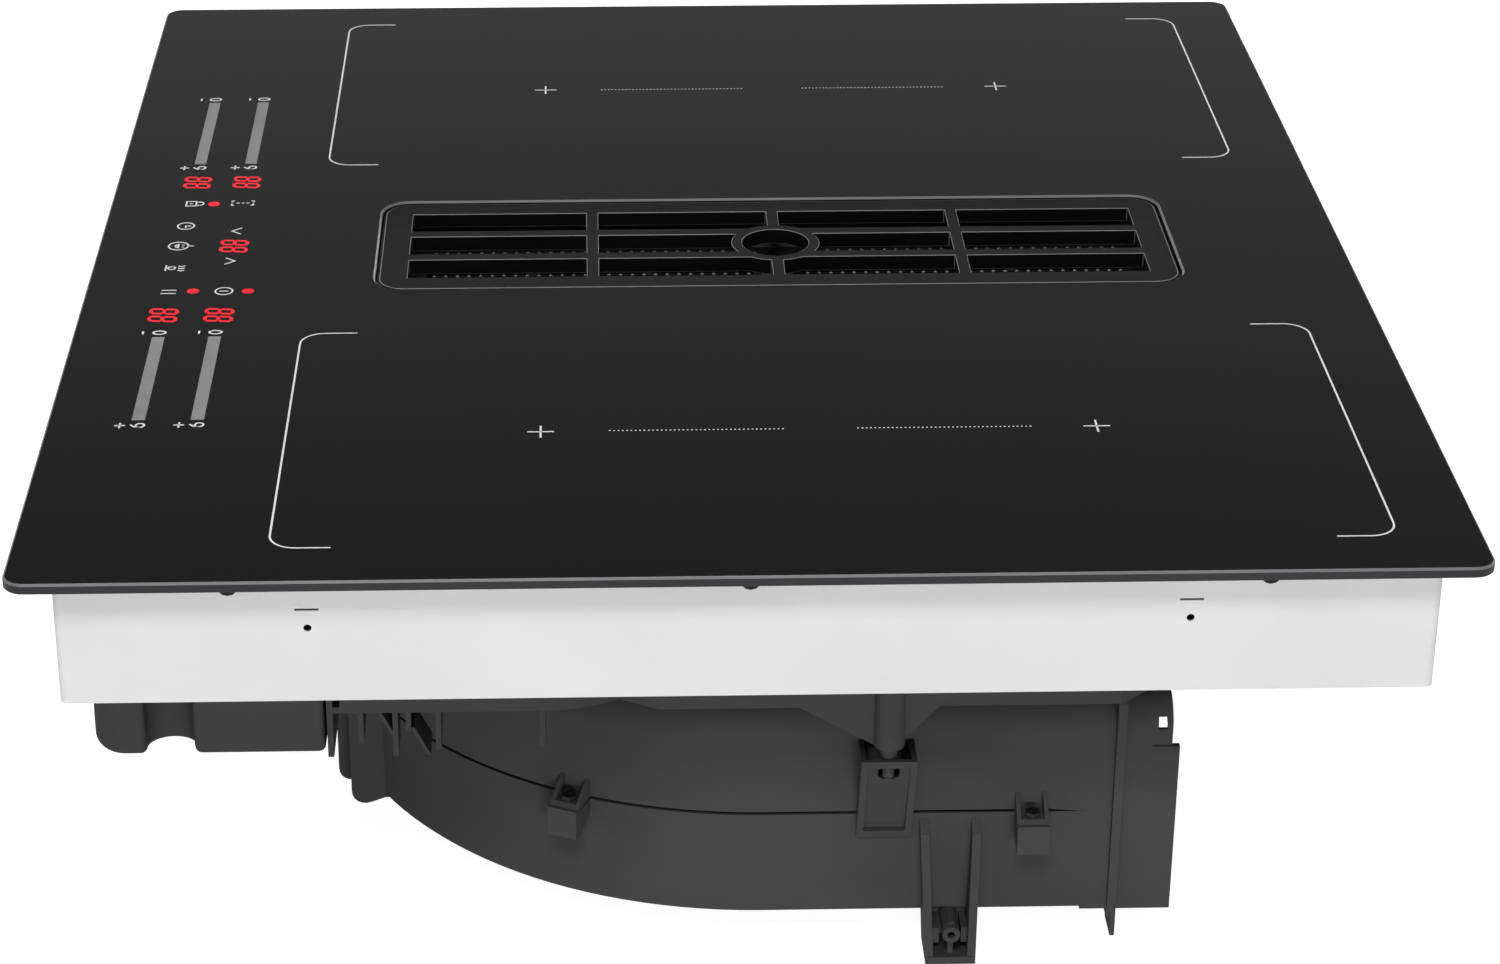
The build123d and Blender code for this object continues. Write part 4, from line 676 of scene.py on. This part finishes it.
def figure(cx, cy):
    """The seven bars of an 8 round a centre."""
    w, h = figure_w / 2 - bar_w / 2, figure_h / 2 - bar_w / 2
    lines = [(-w, h, w, h), (-w, 0, w, 0), (-w, -h, w, -h)]
    lines += [(x, s * bar_gap, x, s * h) for x in (-w, w) for s in (1, -1)]
    shapes = []
    for x0, y0, x1, y1 in lines:
        shorten = bar_gap if y0 == y1 else 0
        # each bar runs up, or to the right, so that all outlines turn the same way
        (ya, xa), (yb, xb) = sorted([(y0, x0 + shorten), (y1, x1 - shorten)])
        outline = segment(xa, ya, xb, yb)
        flat = [(cx + p.x + lean * p.y, cy + p.y) for p in outline]
        verts = [(x, y, z) for z in (ink_high, ink_low) for x, y in flat]
        faces = [tuple(range(6)), tuple(reversed(range(6, 12)))]
        faces += [(i, 6 + i, 6 + (i + 1) % 6, (i + 1) % 6) for i in range(6)]
        shapes.append((verts, faces))
    return shapes


display_spots = [(-70, -225.0), (-70, -203.6), (0.4, -203.4), (70, -226.0), (70.3, -203.7)]
figures = []
for x, y in display_spots:
    for k in (-1, 1):
        figures += figure(x + k * figure_apart, y)
printed("display_figures", figures, red_segment)
lamp_spots, lamp_r = [(-45.6, -215.8), (46.4, -216.3), (46.9, -193.9)], 2.5
printed("lamps", [disc(x, y, lamp_r) for x, y in lamp_spots], red_lamp)

# %% [markdown]
# Small signs tell the keys apart: a lock, two linked zones, a clock, a pan, steam and a fan, a
# pause sign, a power sign and two arrows. They are drawn in one line width.

# %% Key signs
sign_w = 0.72
signs = []


def sign(points, closed=False):
    """Draws one line of a key sign."""
    signs.append(strip(points, sign_w, closed))


# lock
sign([(-48.6, -227.6), (-43.6, -227.6), (-43.6, -223.4), (-48.6, -223.4)], closed=True)
sign([(-46.1, -226.1), (-46.1, -224.9)])
sign([(-47.9, -223.4), (-47.9, -222.0)] + arc(-46.1, -222.0, 1.8, 180, 0, 8) + [(-44.3, -223.4)])
# linked zones
for k in (-1, 1):
    sign([(-46.4 + k * 2.4, -200.0), (-46.4 + k * 2.4, -198.9), (-46.4 - k * 0.8, -198.9)])
    sign([(-46.4 + k * 2.4, -207.0), (-46.4 + k * 2.4, -208.1), (-46.4 - k * 0.8, -208.1)])
for low, high in ((-206.2, -204.8), (-203.9, -202.9), (-202.0, -200.6)):
    sign([(-46.4, low), (-46.4, high)])
# clock
sign(arc(-21.6, -225.5, 3.5, 0, 345, 24), closed=True)
sign([(-21.6, -223.3), (-21.6, -225.5), (-19.8, -225.5)])
# pan on a hob
sign(arc(-0.2, -226.6, 4.1, 0, 345, 24), closed=True)
sign(arc(-0.2, -226.0, 1.9, 200, 340, 8), closed=True)
sign([(-1.3, -225.2), (-1.3, -224.2)])
sign([(0.9, -225.2), (0.9, -224.2)])
sign([(-0.2, -222.5), (-0.2, -220.2)])
# fan with steam
sign(arc(22.8, -227.2, 1.5, 0, 345, 14), closed=True)
for k in (-1, 0, 1):
    sign([(22.8 + k * 2.2, -224.6), (22.8 + k * 2.2 + 0.8, -223.2), (22.8 + k * 2.2, -221.8)])
sign([(20.0, -229.6), (25.6, -229.6)])
# pause
sign([(45.4, -229.2), (45.4, -223.0)])
sign([(48.6, -229.2), (48.6, -223.0)])
# power
sign(arc(46.7, -203.7, 3.5, 0, 348, 24), closed=True)
sign([(46.7, -205.5), (46.7, -201.9)])
# arrows
sign([(-19.0, -201.6), (-15.7, -205.6), (-12.4, -201.6)])
sign([(12.8, -205.8), (16.1, -201.8), (19.4, -205.8)])
printed("key_signs", signs, white_ink)

# %% [markdown]
# Moulded and stamped parts have no sharp edges: a mould can't fill them and a hand wouldn't like
# them. The CAD solids are sharp there, so each main part is copied, its loose triangles are
# merged, and a small bevel is run round its edges. The copy then stands for the node.

# %% Softened copies of the main solids
soft_angle = 32


def softened(node, name, width_mm, body, slot_name, steps=2, edge_highlight=None, change=None, clamp=True):
    """A copy of a CAD node with its edges rounded by width_mm in some steps. edge_highlight is a
    paler finish for the rounded edges, which paints a highlight on them, change a function that
    alters the copy's form first. clamp keeps the width from running past its neighbours."""
    mesh = bmesh.new()
    mesh.from_mesh(nodes[node].data)
    bmesh.ops.remove_doubles(mesh, verts=mesh.verts, dist=0.004 * MM)
    bmesh.ops.dissolve_limit(
        mesh, angle_limit=math.radians(0.5), verts=mesh.verts, edges=mesh.edges,
        delimit={"MATERIAL"},
    )
    if change:
        print(name, "points or edges changed:", change(mesh))
    kept = bpy.data.meshes.new(name)
    mesh.to_mesh(kept)
    mesh.free()
    made = put(name, kept)
    made.data.materials.append(nodes[node].data.materials[0])
    for face in kept.polygons:
        face.use_smooth = True
    bevel = made.modifiers.new("soft_edge", "BEVEL")
    # a paler finish on the bevels paints a highlight along the edges
    if edge_highlight:
        made.data.materials.append(edge_highlight)
        bevel.material = 1
    bevel.width = width_mm * MM
    bevel.segments = steps
    bevel.limit_method = "ANGLE"
    bevel.angle_limit = math.radians(soft_angle)
    bevel.use_clamp_overlap = clamp
    weigh = made.modifiers.new("flat_faces_stay_flat", "WEIGHTED_NORMAL")
    weigh.mode, weigh.weight = "FACE_AREA", 50
    bpy.context.view_layer.update()
    done = made.evaluated_get(bpy.context.evaluated_depsgraph_get())
    final = bpy.data.meshes.new_from_object(done)
    final.name = name
    made.modifiers.clear()
    made.data = final
    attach(made, body)
    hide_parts(node)
    print(name, "faces:", len(final.polygons))


# node, name of the copy, width of its soft edges in mm, body, slot
soft_list = [
    ("intake_grille", "grille_soft", 0.7, "grille", "grille_black"),
    ("housing_pan", "housing_soft", 0.5, "base", "housing_sheet"),
    ("base_casing", "casing_soft", 0.5, "base", "plastic_black"),
    ("scroll_upper", "scroll_upper_soft", 0.4, "base", "plastic_black"),
    ("scroll_lower", "scroll_lower_soft", 0.4, "base", "plastic_black"),
    ("outlet_collar", "spigot_soft", 0.4, "base", "plastic_black"),
    ("overflow_tank", "tank_soft", 2.4, "tank", "plastic_black"),
    ("vent_collar", "collar_soft", 0.3, "base", "plastic_black"),
]

# %% [markdown]
# Three of the copies also change their form a little. The bars of the grille stop short of the
# filter. A groove runs round the blower where its two shells meet, since a moulded shell never
# closes to a perfect line. The lugs at the front of the blower end in a rounded corner.

# %% Small changes of form
bar_depth = 6.5
seam_z, seam_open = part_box("scroll_lower")[1].z / MM, 1.3
drum_x, drum_y, drum_r, wall_slack = 49.0, 9.0, 171.0, 0.3
wheel_x, wheel_y = 41.0, 1.0
duct_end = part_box("outlet_collar")[0].y / MM
lug_y, lug_round = -140.0, 8.5


def shallow_bars(mesh):
    """The bars of the grille end bar_depth under its top, as the view under them shows."""
    low = min(v.co.z for v in mesh.verts)
    moved = [v for v in mesh.verts if v.co.z < low + 0.1 * MM]
    for v in moved:
        v.co.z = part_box("intake_grille")[1].z - bar_depth * MM
    return len(moved)


def open_seam(mesh):
    """The outer edge of the upper shell is cut back, so a groove runs round the scroll. Its inner
    edge still meets the lower shell, and the lugs and clips outside the wall stay."""
    axis = Vector((wheel_x * MM, wheel_y * MM, 0))
    mesh.normal_update()
    outer = []
    for v in mesh.verts:
        x, y, z = (c / MM for c in v.co)
        beyond = math.hypot(x - drum_x, min(y - drum_y, 0)) > drum_r + wall_slack
        if abs(z - seam_z) > 0.05 or y > duct_end - 0.1 or beyond:
            continue
        facing = sum((f.normal for f in v.link_faces if abs(f.normal.z) < 0.5), Vector())
        if facing.dot(v.co - axis) > 0:
            outer.append(v)
    for v in outer:
        v.co.z += seam_open * MM
    return len(outer)


def round_lugs(mesh):
    """The two lugs on the front of the drum end in a rounded corner."""
    low = min(v.co.z for v in mesh.verts if v.co.y < lug_y * MM)
    corners = []
    for one in mesh.edges:
        a, b = (v.co for v in one.verts)
        level = max(a.z, b.z) < low + 0.05 * MM and abs(a.y - b.y) < 0.05 * MM
        if level and a.y < lug_y * MM:
            corners.append(one)
    bmesh.ops.bevel(
        mesh, geom=corners, offset=lug_round * MM, segments=6, profile=0.5, affect="EDGES"
    )
    return len(corners)


extras = {
    # the grille's rounded edges get a paler enamel as a painted highlight
    "intake_grille": {"edge_highlight": enamel_edge_highlight, "change": shallow_bars},
    "scroll_upper": {"change": open_seam},
    "scroll_lower": {"change": round_lugs},
    "overflow_tank": {"steps": 3, "clamp": False},
}
for node, name, width, body, slot_name in soft_list:
    softened(node, name, width, body, slot_name, **extras.get(node, {}))

# %% [markdown]
# The wheel of the blower follows a rule: one bent blade, turned round the axis as often as there
# are blades, between a back plate and a front ring, with a domed hub over the motor. A Geometry
# Nodes tree builds it from named inputs. Its axis stays at the tree's origin, and one Place input
# moves the whole wheel to where it runs.

# %% Small node helpers for sums and vectors
def feed(tree, made, values):
    """Sets or links the inputs of a node in their order."""
    for slot_in, value in zip(made.inputs, values):
        if hasattr(value, "links"):
            tree.links.new(value, slot_in)
        else:
            slot_in.default_value = value
    return made.outputs[0]


def calc(tree, kind, first, second):
    """The socket of one sum, such as first minus second."""
    return feed(tree, add(tree, "ShaderNodeMath", operation=kind), (first, second))


def sums(tree):
    """Short names for the sums of one tree: plus, minus, times."""
    return [partial(calc, tree, kind) for kind in ("ADD", "SUBTRACT", "MULTIPLY")]


def triple(tree, x, y, z):
    """Three numbers as one vector."""
    return feed(tree, add(tree, "ShaderNodeCombineXYZ"), (x, y, z))


def turned(tree, radius, angle):
    """The point at this radius, turned by this angle round Z."""
    made = add(tree, "ShaderNodeVectorRotate", [("Vector", triple(tree, radius, 0, 0))])
    tree.links.new(angle, made.inputs["Angle"])
    return made.outputs[0]


def joined(tree, parts):
    """Several geometries as one."""
    made = add(tree, "GeometryNodeJoinGeometry")
    for part in parts:
        tree.links.new(part, made.inputs[0])
    return made.outputs[0]


def moved(tree, geometry, way):
    """The geometry, moved by a vector."""
    made = add(tree, "GeometryNodeTransform", [("Geometry", geometry), ("Translation", way)])
    return made.outputs[0]


def swept(tree, path, profile):
    """A profile drawn along a path."""
    return add(tree, "GeometryNodeCurveToMesh", [("Curve", path), ("Profile Curve", profile)])


def thick(tree, surface, amount):
    """A surface with this thickness, closed all round."""
    grown = add(tree, "GeometryNodeExtrudeMesh", [("Mesh", surface), ("Offset Scale", amount)])
    grown.inputs["Individual"].default_value = False
    both = joined(tree, (surface, grown.outputs["Mesh"]))
    merged = add(tree, "GeometryNodeMergeByDistance", [("Geometry", both)])
    merged.inputs["Distance"].default_value = 0.001 * MM
    return merged.outputs[0]


# %% [markdown]
# The tree follows the way such a wheel is moulded. One blade is drawn as a bent line, raised and
# thickened, then set round the axis. The back plate, the front ring and the hub are profiles
# swept round a circle, which keeps them round at any size.

# %% The tree of the wheel
hub_round = 5.0


def wheel_tree():
    """The wheel as a tree: blades, back plate, front ring and hub from named inputs."""
    tree, given = new_tree(
        "forward_curved_wheel", Blades="Int", Outer_Radius="Float", Inner_Radius="Float",
        Height="Float", Blade_Thickness="Float", Sweep="Float", Bow="Float", Plate="Float",
        Ring="Float", Hub_Radius="Float", Hub_Height="Float", Hub_Wall="Float",
        Shaft_Radius="Float", Place="Vector", Finish="Material",
    )
    plus, minus, times = sums(tree)
    want = given.outputs
    outer, inner, high, plate = (
        want[k] for k in ("Outer Radius", "Inner Radius", "Height", "Plate")
    )
    hub_radius, hub_wall = want["Hub Radius"], want["Hub Wall"]
    # one blade: a bent line in plan, drawn up to the front ring and given its thickness
    middle_turn = times(want["Sweep"], minus(times(want["Bow"], 2.0), 0.5))
    middle_radius = times(plus(outer, inner), 0.5)
    bend = add(
        tree, "GeometryNodeCurveQuadraticBezier",
        [
            ("Start", triple(tree, inner, 0, 0)),
            ("Middle", turned(tree, middle_radius, middle_turn)),
            ("End", turned(tree, outer, want["Sweep"])),
        ],
        Resolution=6,
    )
    line = add(tree, "GeometryNodeCurveToMesh", [("Curve", bend.outputs[0])])
    blade_high = minus(high, times(plate, 0.5))
    wall = add(
        tree, "GeometryNodeExtrudeMesh",
        [("Mesh", line.outputs[0]), ("Offset", triple(tree, 0, 0, blade_high))],
        mode="EDGES",
    )
    blade = thick(tree, wall.outputs["Mesh"], want["Blade Thickness"])
    spots = add(tree, "GeometryNodeMeshLine", [("Count", want["Blades"])], mode="OFFSET")
    spots.inputs["Offset"].default_value = (0, 0, 0)
    index = add(tree, "GeometryNodeInputIndex").outputs[0]
    turn = times(index, calc(tree, "DIVIDE", 2 * math.pi, want["Blades"]))
    blades = add(
        tree, "GeometryNodeInstanceOnPoints",
        [
            ("Points", spots.outputs[0]),
            ("Instance", blade),
            ("Rotation", triple(tree, 0, 0, turn)),
        ],
    )
    # plate and ring: rectangles swept round the axis. A profile's x runs outwards, its y down
    path = add(
        tree, "GeometryNodeCurvePrimitiveCircle", [("Radius", hub_radius)], Resolution=120
    ).outputs[0]
    sections = []
    for radius_0, radius_1, z_0, z_1 in (
        (minus(outer, want["Ring"]), outer, minus(high, plate), high),
        (minus(hub_radius, times(hub_wall, 0.5)), outer, 0.0, plate),
    ):
        across, along = minus(radius_1, radius_0), minus(z_1, z_0)
        box = add(
            tree, "GeometryNodeCurvePrimitiveQuadrilateral", [("Width", across), ("Height", along)]
        )
        x = minus(plus(radius_0, times(across, 0.5)), hub_radius)
        y = times(plus(z_0, times(along, 0.5)), -1.0)
        sections.append(moved(tree, box.outputs[0], triple(tree, x, y, 0)))
    rings = swept(tree, path, joined(tree, sections))
    # hub: three points up the wall and in over the top, rounded at the corner, swept and thickened
    corner = add(tree, "GeometryNodeMeshLine", Count=3, mode="OFFSET")
    past_first = calc(tree, "GREATER_THAN", index, 0.5)
    past_second = calc(tree, "GREATER_THAN", index, 1.5)
    place = triple(
        tree,
        times(past_second, minus(want["Shaft Radius"], hub_radius)),
        times(past_first, times(want["Hub Height"], -1.0)),
        0,
    )
    bent = add(
        tree, "GeometryNodeSetPosition", [("Geometry", corner.outputs[0]), ("Position", place)]
    )
    profile = add(tree, "GeometryNodeMeshToCurve", [("Mesh", bent.outputs[0])])
    round_off = add(tree, "GeometryNodeFilletCurve", mode="POLY")
    eased = feed(tree, round_off, (profile.outputs[0], 5, hub_round * MM))
    dome = swept(tree, path, eased)
    # the minus puts the wall on the other side of the swept surface
    hub = thick(tree, dome.outputs[0], times(hub_wall, -1.0))
    whole = joined(tree, (blades.outputs[0], rings.outputs[0], hub))
    placed = moved(tree, whole, want["Place"])
    real = add(tree, "GeometryNodeRealizeInstances", [("Geometry", placed)])
    add(
        tree, "NodeGroupOutput",
        [("Geometry", in_finish(tree, real.outputs[0], want["Finish"]))],
    )
    return tree


# %% [markdown]
# The wheel is grown at the sizes of the CAD wheel, and its reach is printed beside the solid's.
# Smooth shading with sharp corners suits a moulded part: the blades look bent, and the edges of
# the plate stay crisp.

# %% The wheel itself
blower_wheel = grow(
    "blower_wheel_grown", wheel_tree(), "blower_wheel", Finish=wheel_plastic,
    Place=(wheel_x * MM, wheel_y * MM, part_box("impeller")[0].z),
    Blades=36, Blade_Thickness=1.2 * MM, Sweep=math.radians(6.0), Bow=0.35,
    Outer_Radius=102 * MM, Inner_Radius=84 * MM, Height=64 * MM, Plate=2 * MM, Ring=4 * MM,
    Hub_Radius=50 * MM, Hub_Height=42 * MM, Hub_Wall=2 * MM, Shaft_Radius=4 * MM,
)
face_outwards(blower_wheel)
for face in blower_wheel.data.polygons:
    face.use_smooth = True
blower_wheel.data.set_sharp_from_angle(angle=math.radians(35))
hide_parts("impeller")
for k, axis in enumerate("xyz"):
    solid = [round(getattr(c, axis) / MM, 2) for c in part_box("impeller")]
    reach = [v.co[k] / MM for v in blower_wheel.data.vertices]
    print("wheel", axis, solid, "grown:", round(min(reach), 2), round(max(reach), 2))

# %% [markdown]
# On the grease filter lies a sheet of woven wire. Its crests are rubbed bare and catch the light
# in rows, down in the dark of the intake. The sheet is left out over the grip in the middle.

# %% The woven sheet of the filter
def mesh_tree():
    """The sheet as a tree: a grid of wires with a flattened ball on each crossing."""
    tree, given = new_tree(
        "woven_sheet", Columns="Int", Rows="Int", Pitch="Float", Wire="Float", Crest="Float",
        Middle="Vector", Finish="Material", Crest_Finish="Material",
    )
    _, minus, times = sums(tree)
    want = given.outputs
    spans = [times(want["Pitch"], minus(want[k], 1.0)) for k in ("Columns", "Rows")]
    grid = add(
        tree, "GeometryNodeMeshGrid",
        [
            ("Size X", spans[0]),
            ("Size Y", spans[1]),
            ("Vertices X", want["Columns"]),
            ("Vertices Y", want["Rows"]),
        ],
    )
    lines = add(tree, "GeometryNodeMeshToCurve", [("Mesh", grid.outputs[0])])
    section = add(
        tree, "GeometryNodeCurvePrimitiveQuadrilateral",
        [("Width", want["Wire"]), ("Height", want["Wire"])],
    )
    wires = swept(tree, lines.outputs[0], section.outputs[0])
    wires.inputs["Fill Caps"].default_value = True
    ball = add(tree, "GeometryNodeMeshUVSphere", [("Radius", want["Crest"])], Segments=8, Rings=5)
    flat = add(
        tree, "GeometryNodeTransform", [("Geometry", ball.outputs[0])], Scale=(1.0, 1.0, 0.5)
    )
    crests = add(
        tree, "GeometryNodeInstanceOnPoints",
        [("Points", grid.outputs[0]), ("Instance", flat.outputs[0])],
    )
    real = add(tree, "GeometryNodeRealizeInstances", [("Geometry", crests.outputs[0])])
    whole = joined(
        tree,
        [
            in_finish(tree, wires.outputs[0], want["Finish"]),
            in_finish(tree, real.outputs[0], want["Crest Finish"]),
        ],
    )
    add(tree, "NodeGroupOutput", [("Geometry", moved(tree, whole, want["Middle"]))])
    return tree


woven = mesh_tree()
mesh_pitch, mesh_rows, mesh_columns, wire_t, crest_r = 4.94, 28, 15, 0.5, 0.9
mesh_x, mesh_cy, mesh_gap = -0.7, vent_cy + 2.0, 12.5
filter_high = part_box("filter_plates")[1].z / MM
sheets = []
for side in (1, -1):
    mesh_y = mesh_cy + side * (mesh_gap + (mesh_rows - 1) * mesh_pitch / 2)
    sheets.append(
        grow(
            "sheet", woven, "grease_filter", Finish=filter_coat, Crest_Finish=bare_crest,
            Columns=mesh_columns, Rows=mesh_rows, Pitch=mesh_pitch * MM,
            Wire=wire_t * MM, Crest=crest_r * MM,
            Middle=(mesh_x * MM, mesh_y * MM, (filter_high + wire_t / 2) * MM),
        )
    )
filter_mesh = join("filter_mesh", sheets, "grease_filter")
print("woven sheet faces:", len(filter_mesh.data.polygons), "plate top:", round(filter_high, 2))

# %% [markdown]
# The stage is a plain product studio: a wide pale sheet under the object and a white sky. A
# camera would need a bright set to show both as white, and that much light would wash out a
# black object. So both glow only for the camera and for mirrors. The sky gives the object itself
# no more than a trace of light, and the floor only what it throws back.

# %% Floor and sky
floor_z, floor_half = cad_box[0][2] / MM - 0.5, 4000.0
floor_glow, sky_trace = 0.93, 0.07


def seen_directly(tree):
    """1 for a ray from the camera or a mirror, 0 for one that lights the object."""
    ray = add(tree, "ShaderNodeLightPath")
    seen = add(
        tree, "ShaderNodeMath",
        [(0, ray.outputs["Is Camera Ray"]), (1, ray.outputs["Is Glossy Ray"])],
        operation="MAXIMUM",
    )
    return seen.outputs[0]


corners = [(sx * floor_half * MM, sy * floor_half * MM, floor_z * MM)
           for sx, sy in ((-1, -1), (1, -1), (1, 1), (-1, 1))]
floor = bpy.data.meshes.new("studio_floor")
floor.from_pydata(corners, [], [(0, 1, 2, 3)])
studio_floor = put("studio_floor", floor)
paper = bpy.data.materials.new("studio_paper")
paper.use_nodes = True
tree = paper.node_tree
shader = tree.nodes["Principled BSDF"]
shader.inputs["Base Color"].default_value = tone("#D0D0D0")
shader.inputs["Roughness"].default_value = 0.9
shader.inputs["Specular IOR Level"].default_value = 0.0
lift = calc(tree, "MULTIPLY", seen_directly(tree), floor_glow)
shader.inputs["Emission Color"].default_value = tone("#FFFFFF")
tree.links.new(lift, shader.inputs["Emission Strength"])
studio_floor.data.materials.append(paper)

world = bpy.data.worlds.new("studio")
bpy.context.scene.world = world
world.use_nodes = True
tree = world.node_tree
level = add(
    tree, "ShaderNodeMapRange", [("Value", seen_directly(tree))], To_Min=sky_trace, To_Max=1.0
)
tree.nodes["Background"].inputs["Color"].default_value = (1, 1, 1, 1)
tree.links.new(level.outputs[0], tree.nodes["Background"].inputs["Strength"])
print("floor at:", round(floor_z, 2), "mm")

# %% [markdown]
# Six soft panels light the object. The key hangs above the near side, so the housing puts what
# lies under it in soft shadow, and a low one opens that shadow. One over the glass lifts the
# prints. Weak ones fill the front and the rear. The one at the far side is thin and hangs low,
# because the glass would mirror a higher one.

# %% Soft panels
aim_at = Vector((0, 0, -0.05))


def softbox(name, spot, wide, high, energy):
    """A panel of light that faces the object."""
    light = bpy.data.lights.new(name, "AREA")
    light.shape = "RECTANGLE"
    light.size, light.size_y = wide, high
    light.energy = energy
    panel = put(name, light)
    panel.location = spot
    panel.rotation_mode = "QUATERNION"
    panel.rotation_quaternion = (aim_at - panel.location).to_track_quat("-Z", "Y")


# name, place and size in metres, energy in watts
softbox("key_panel", (2.2, -0.3, 2.3), 1.0, 0.6, 40.0)
softbox("near_panel", (3.1, 0.2, 0.0), 1.2, 0.3, 44.0)
softbox("top_panel", (0.0, 0.0, 3.2), 1.2, 1.2, 40.0)
softbox("front_panel", (0.9, -3.0, 0.35), 2.0, 0.8, 12.0)
softbox("rear_panel", (-0.6, 3.0, 0.1), 2.0, 0.4, 10.0)
softbox("back_panel", (-3.1, 0.3, 0.0), 2.0, 0.25, 34.0)
print("panels:", len(bpy.data.lights))

# %% [markdown]
# The camera stands where the picture was taken from: at the right end of the cooktop, a little
# above it and close, so the glass narrows strongly towards the back. Its place and lens were
# solved from the outlines of the glass, the housing and the blower. The lens is shifted, which
# moves the frame without tilting the view.

# %% Camera
azimuth, elevation = math.radians(88.606), math.radians(25.597)
back = Vector(
    (
        math.sin(azimuth) * math.cos(elevation),
        -math.cos(azimuth) * math.cos(elevation),
        math.sin(elevation),
    )
)
lens = bpy.data.cameras.new("camera")
lens.sensor_width = 36.0
lens.lens = 87.27
lens.shift_x, lens.shift_y = 0.0566, -0.0576
lens.clip_start, lens.clip_end = 0.05, 30.0
camera = put("camera", lens)
camera.location = (1.4016, -0.05735, 0.60605)
camera.rotation_mode = "QUATERNION"
camera.rotation_quaternion = (-back).to_track_quat("-Z", "Y")
bpy.context.scene.camera = camera
bpy.context.scene.view_settings.view_transform = "Standard"
print("lens:", lens.lens, "mm, place:", [round(c, 3) for c in camera.location])
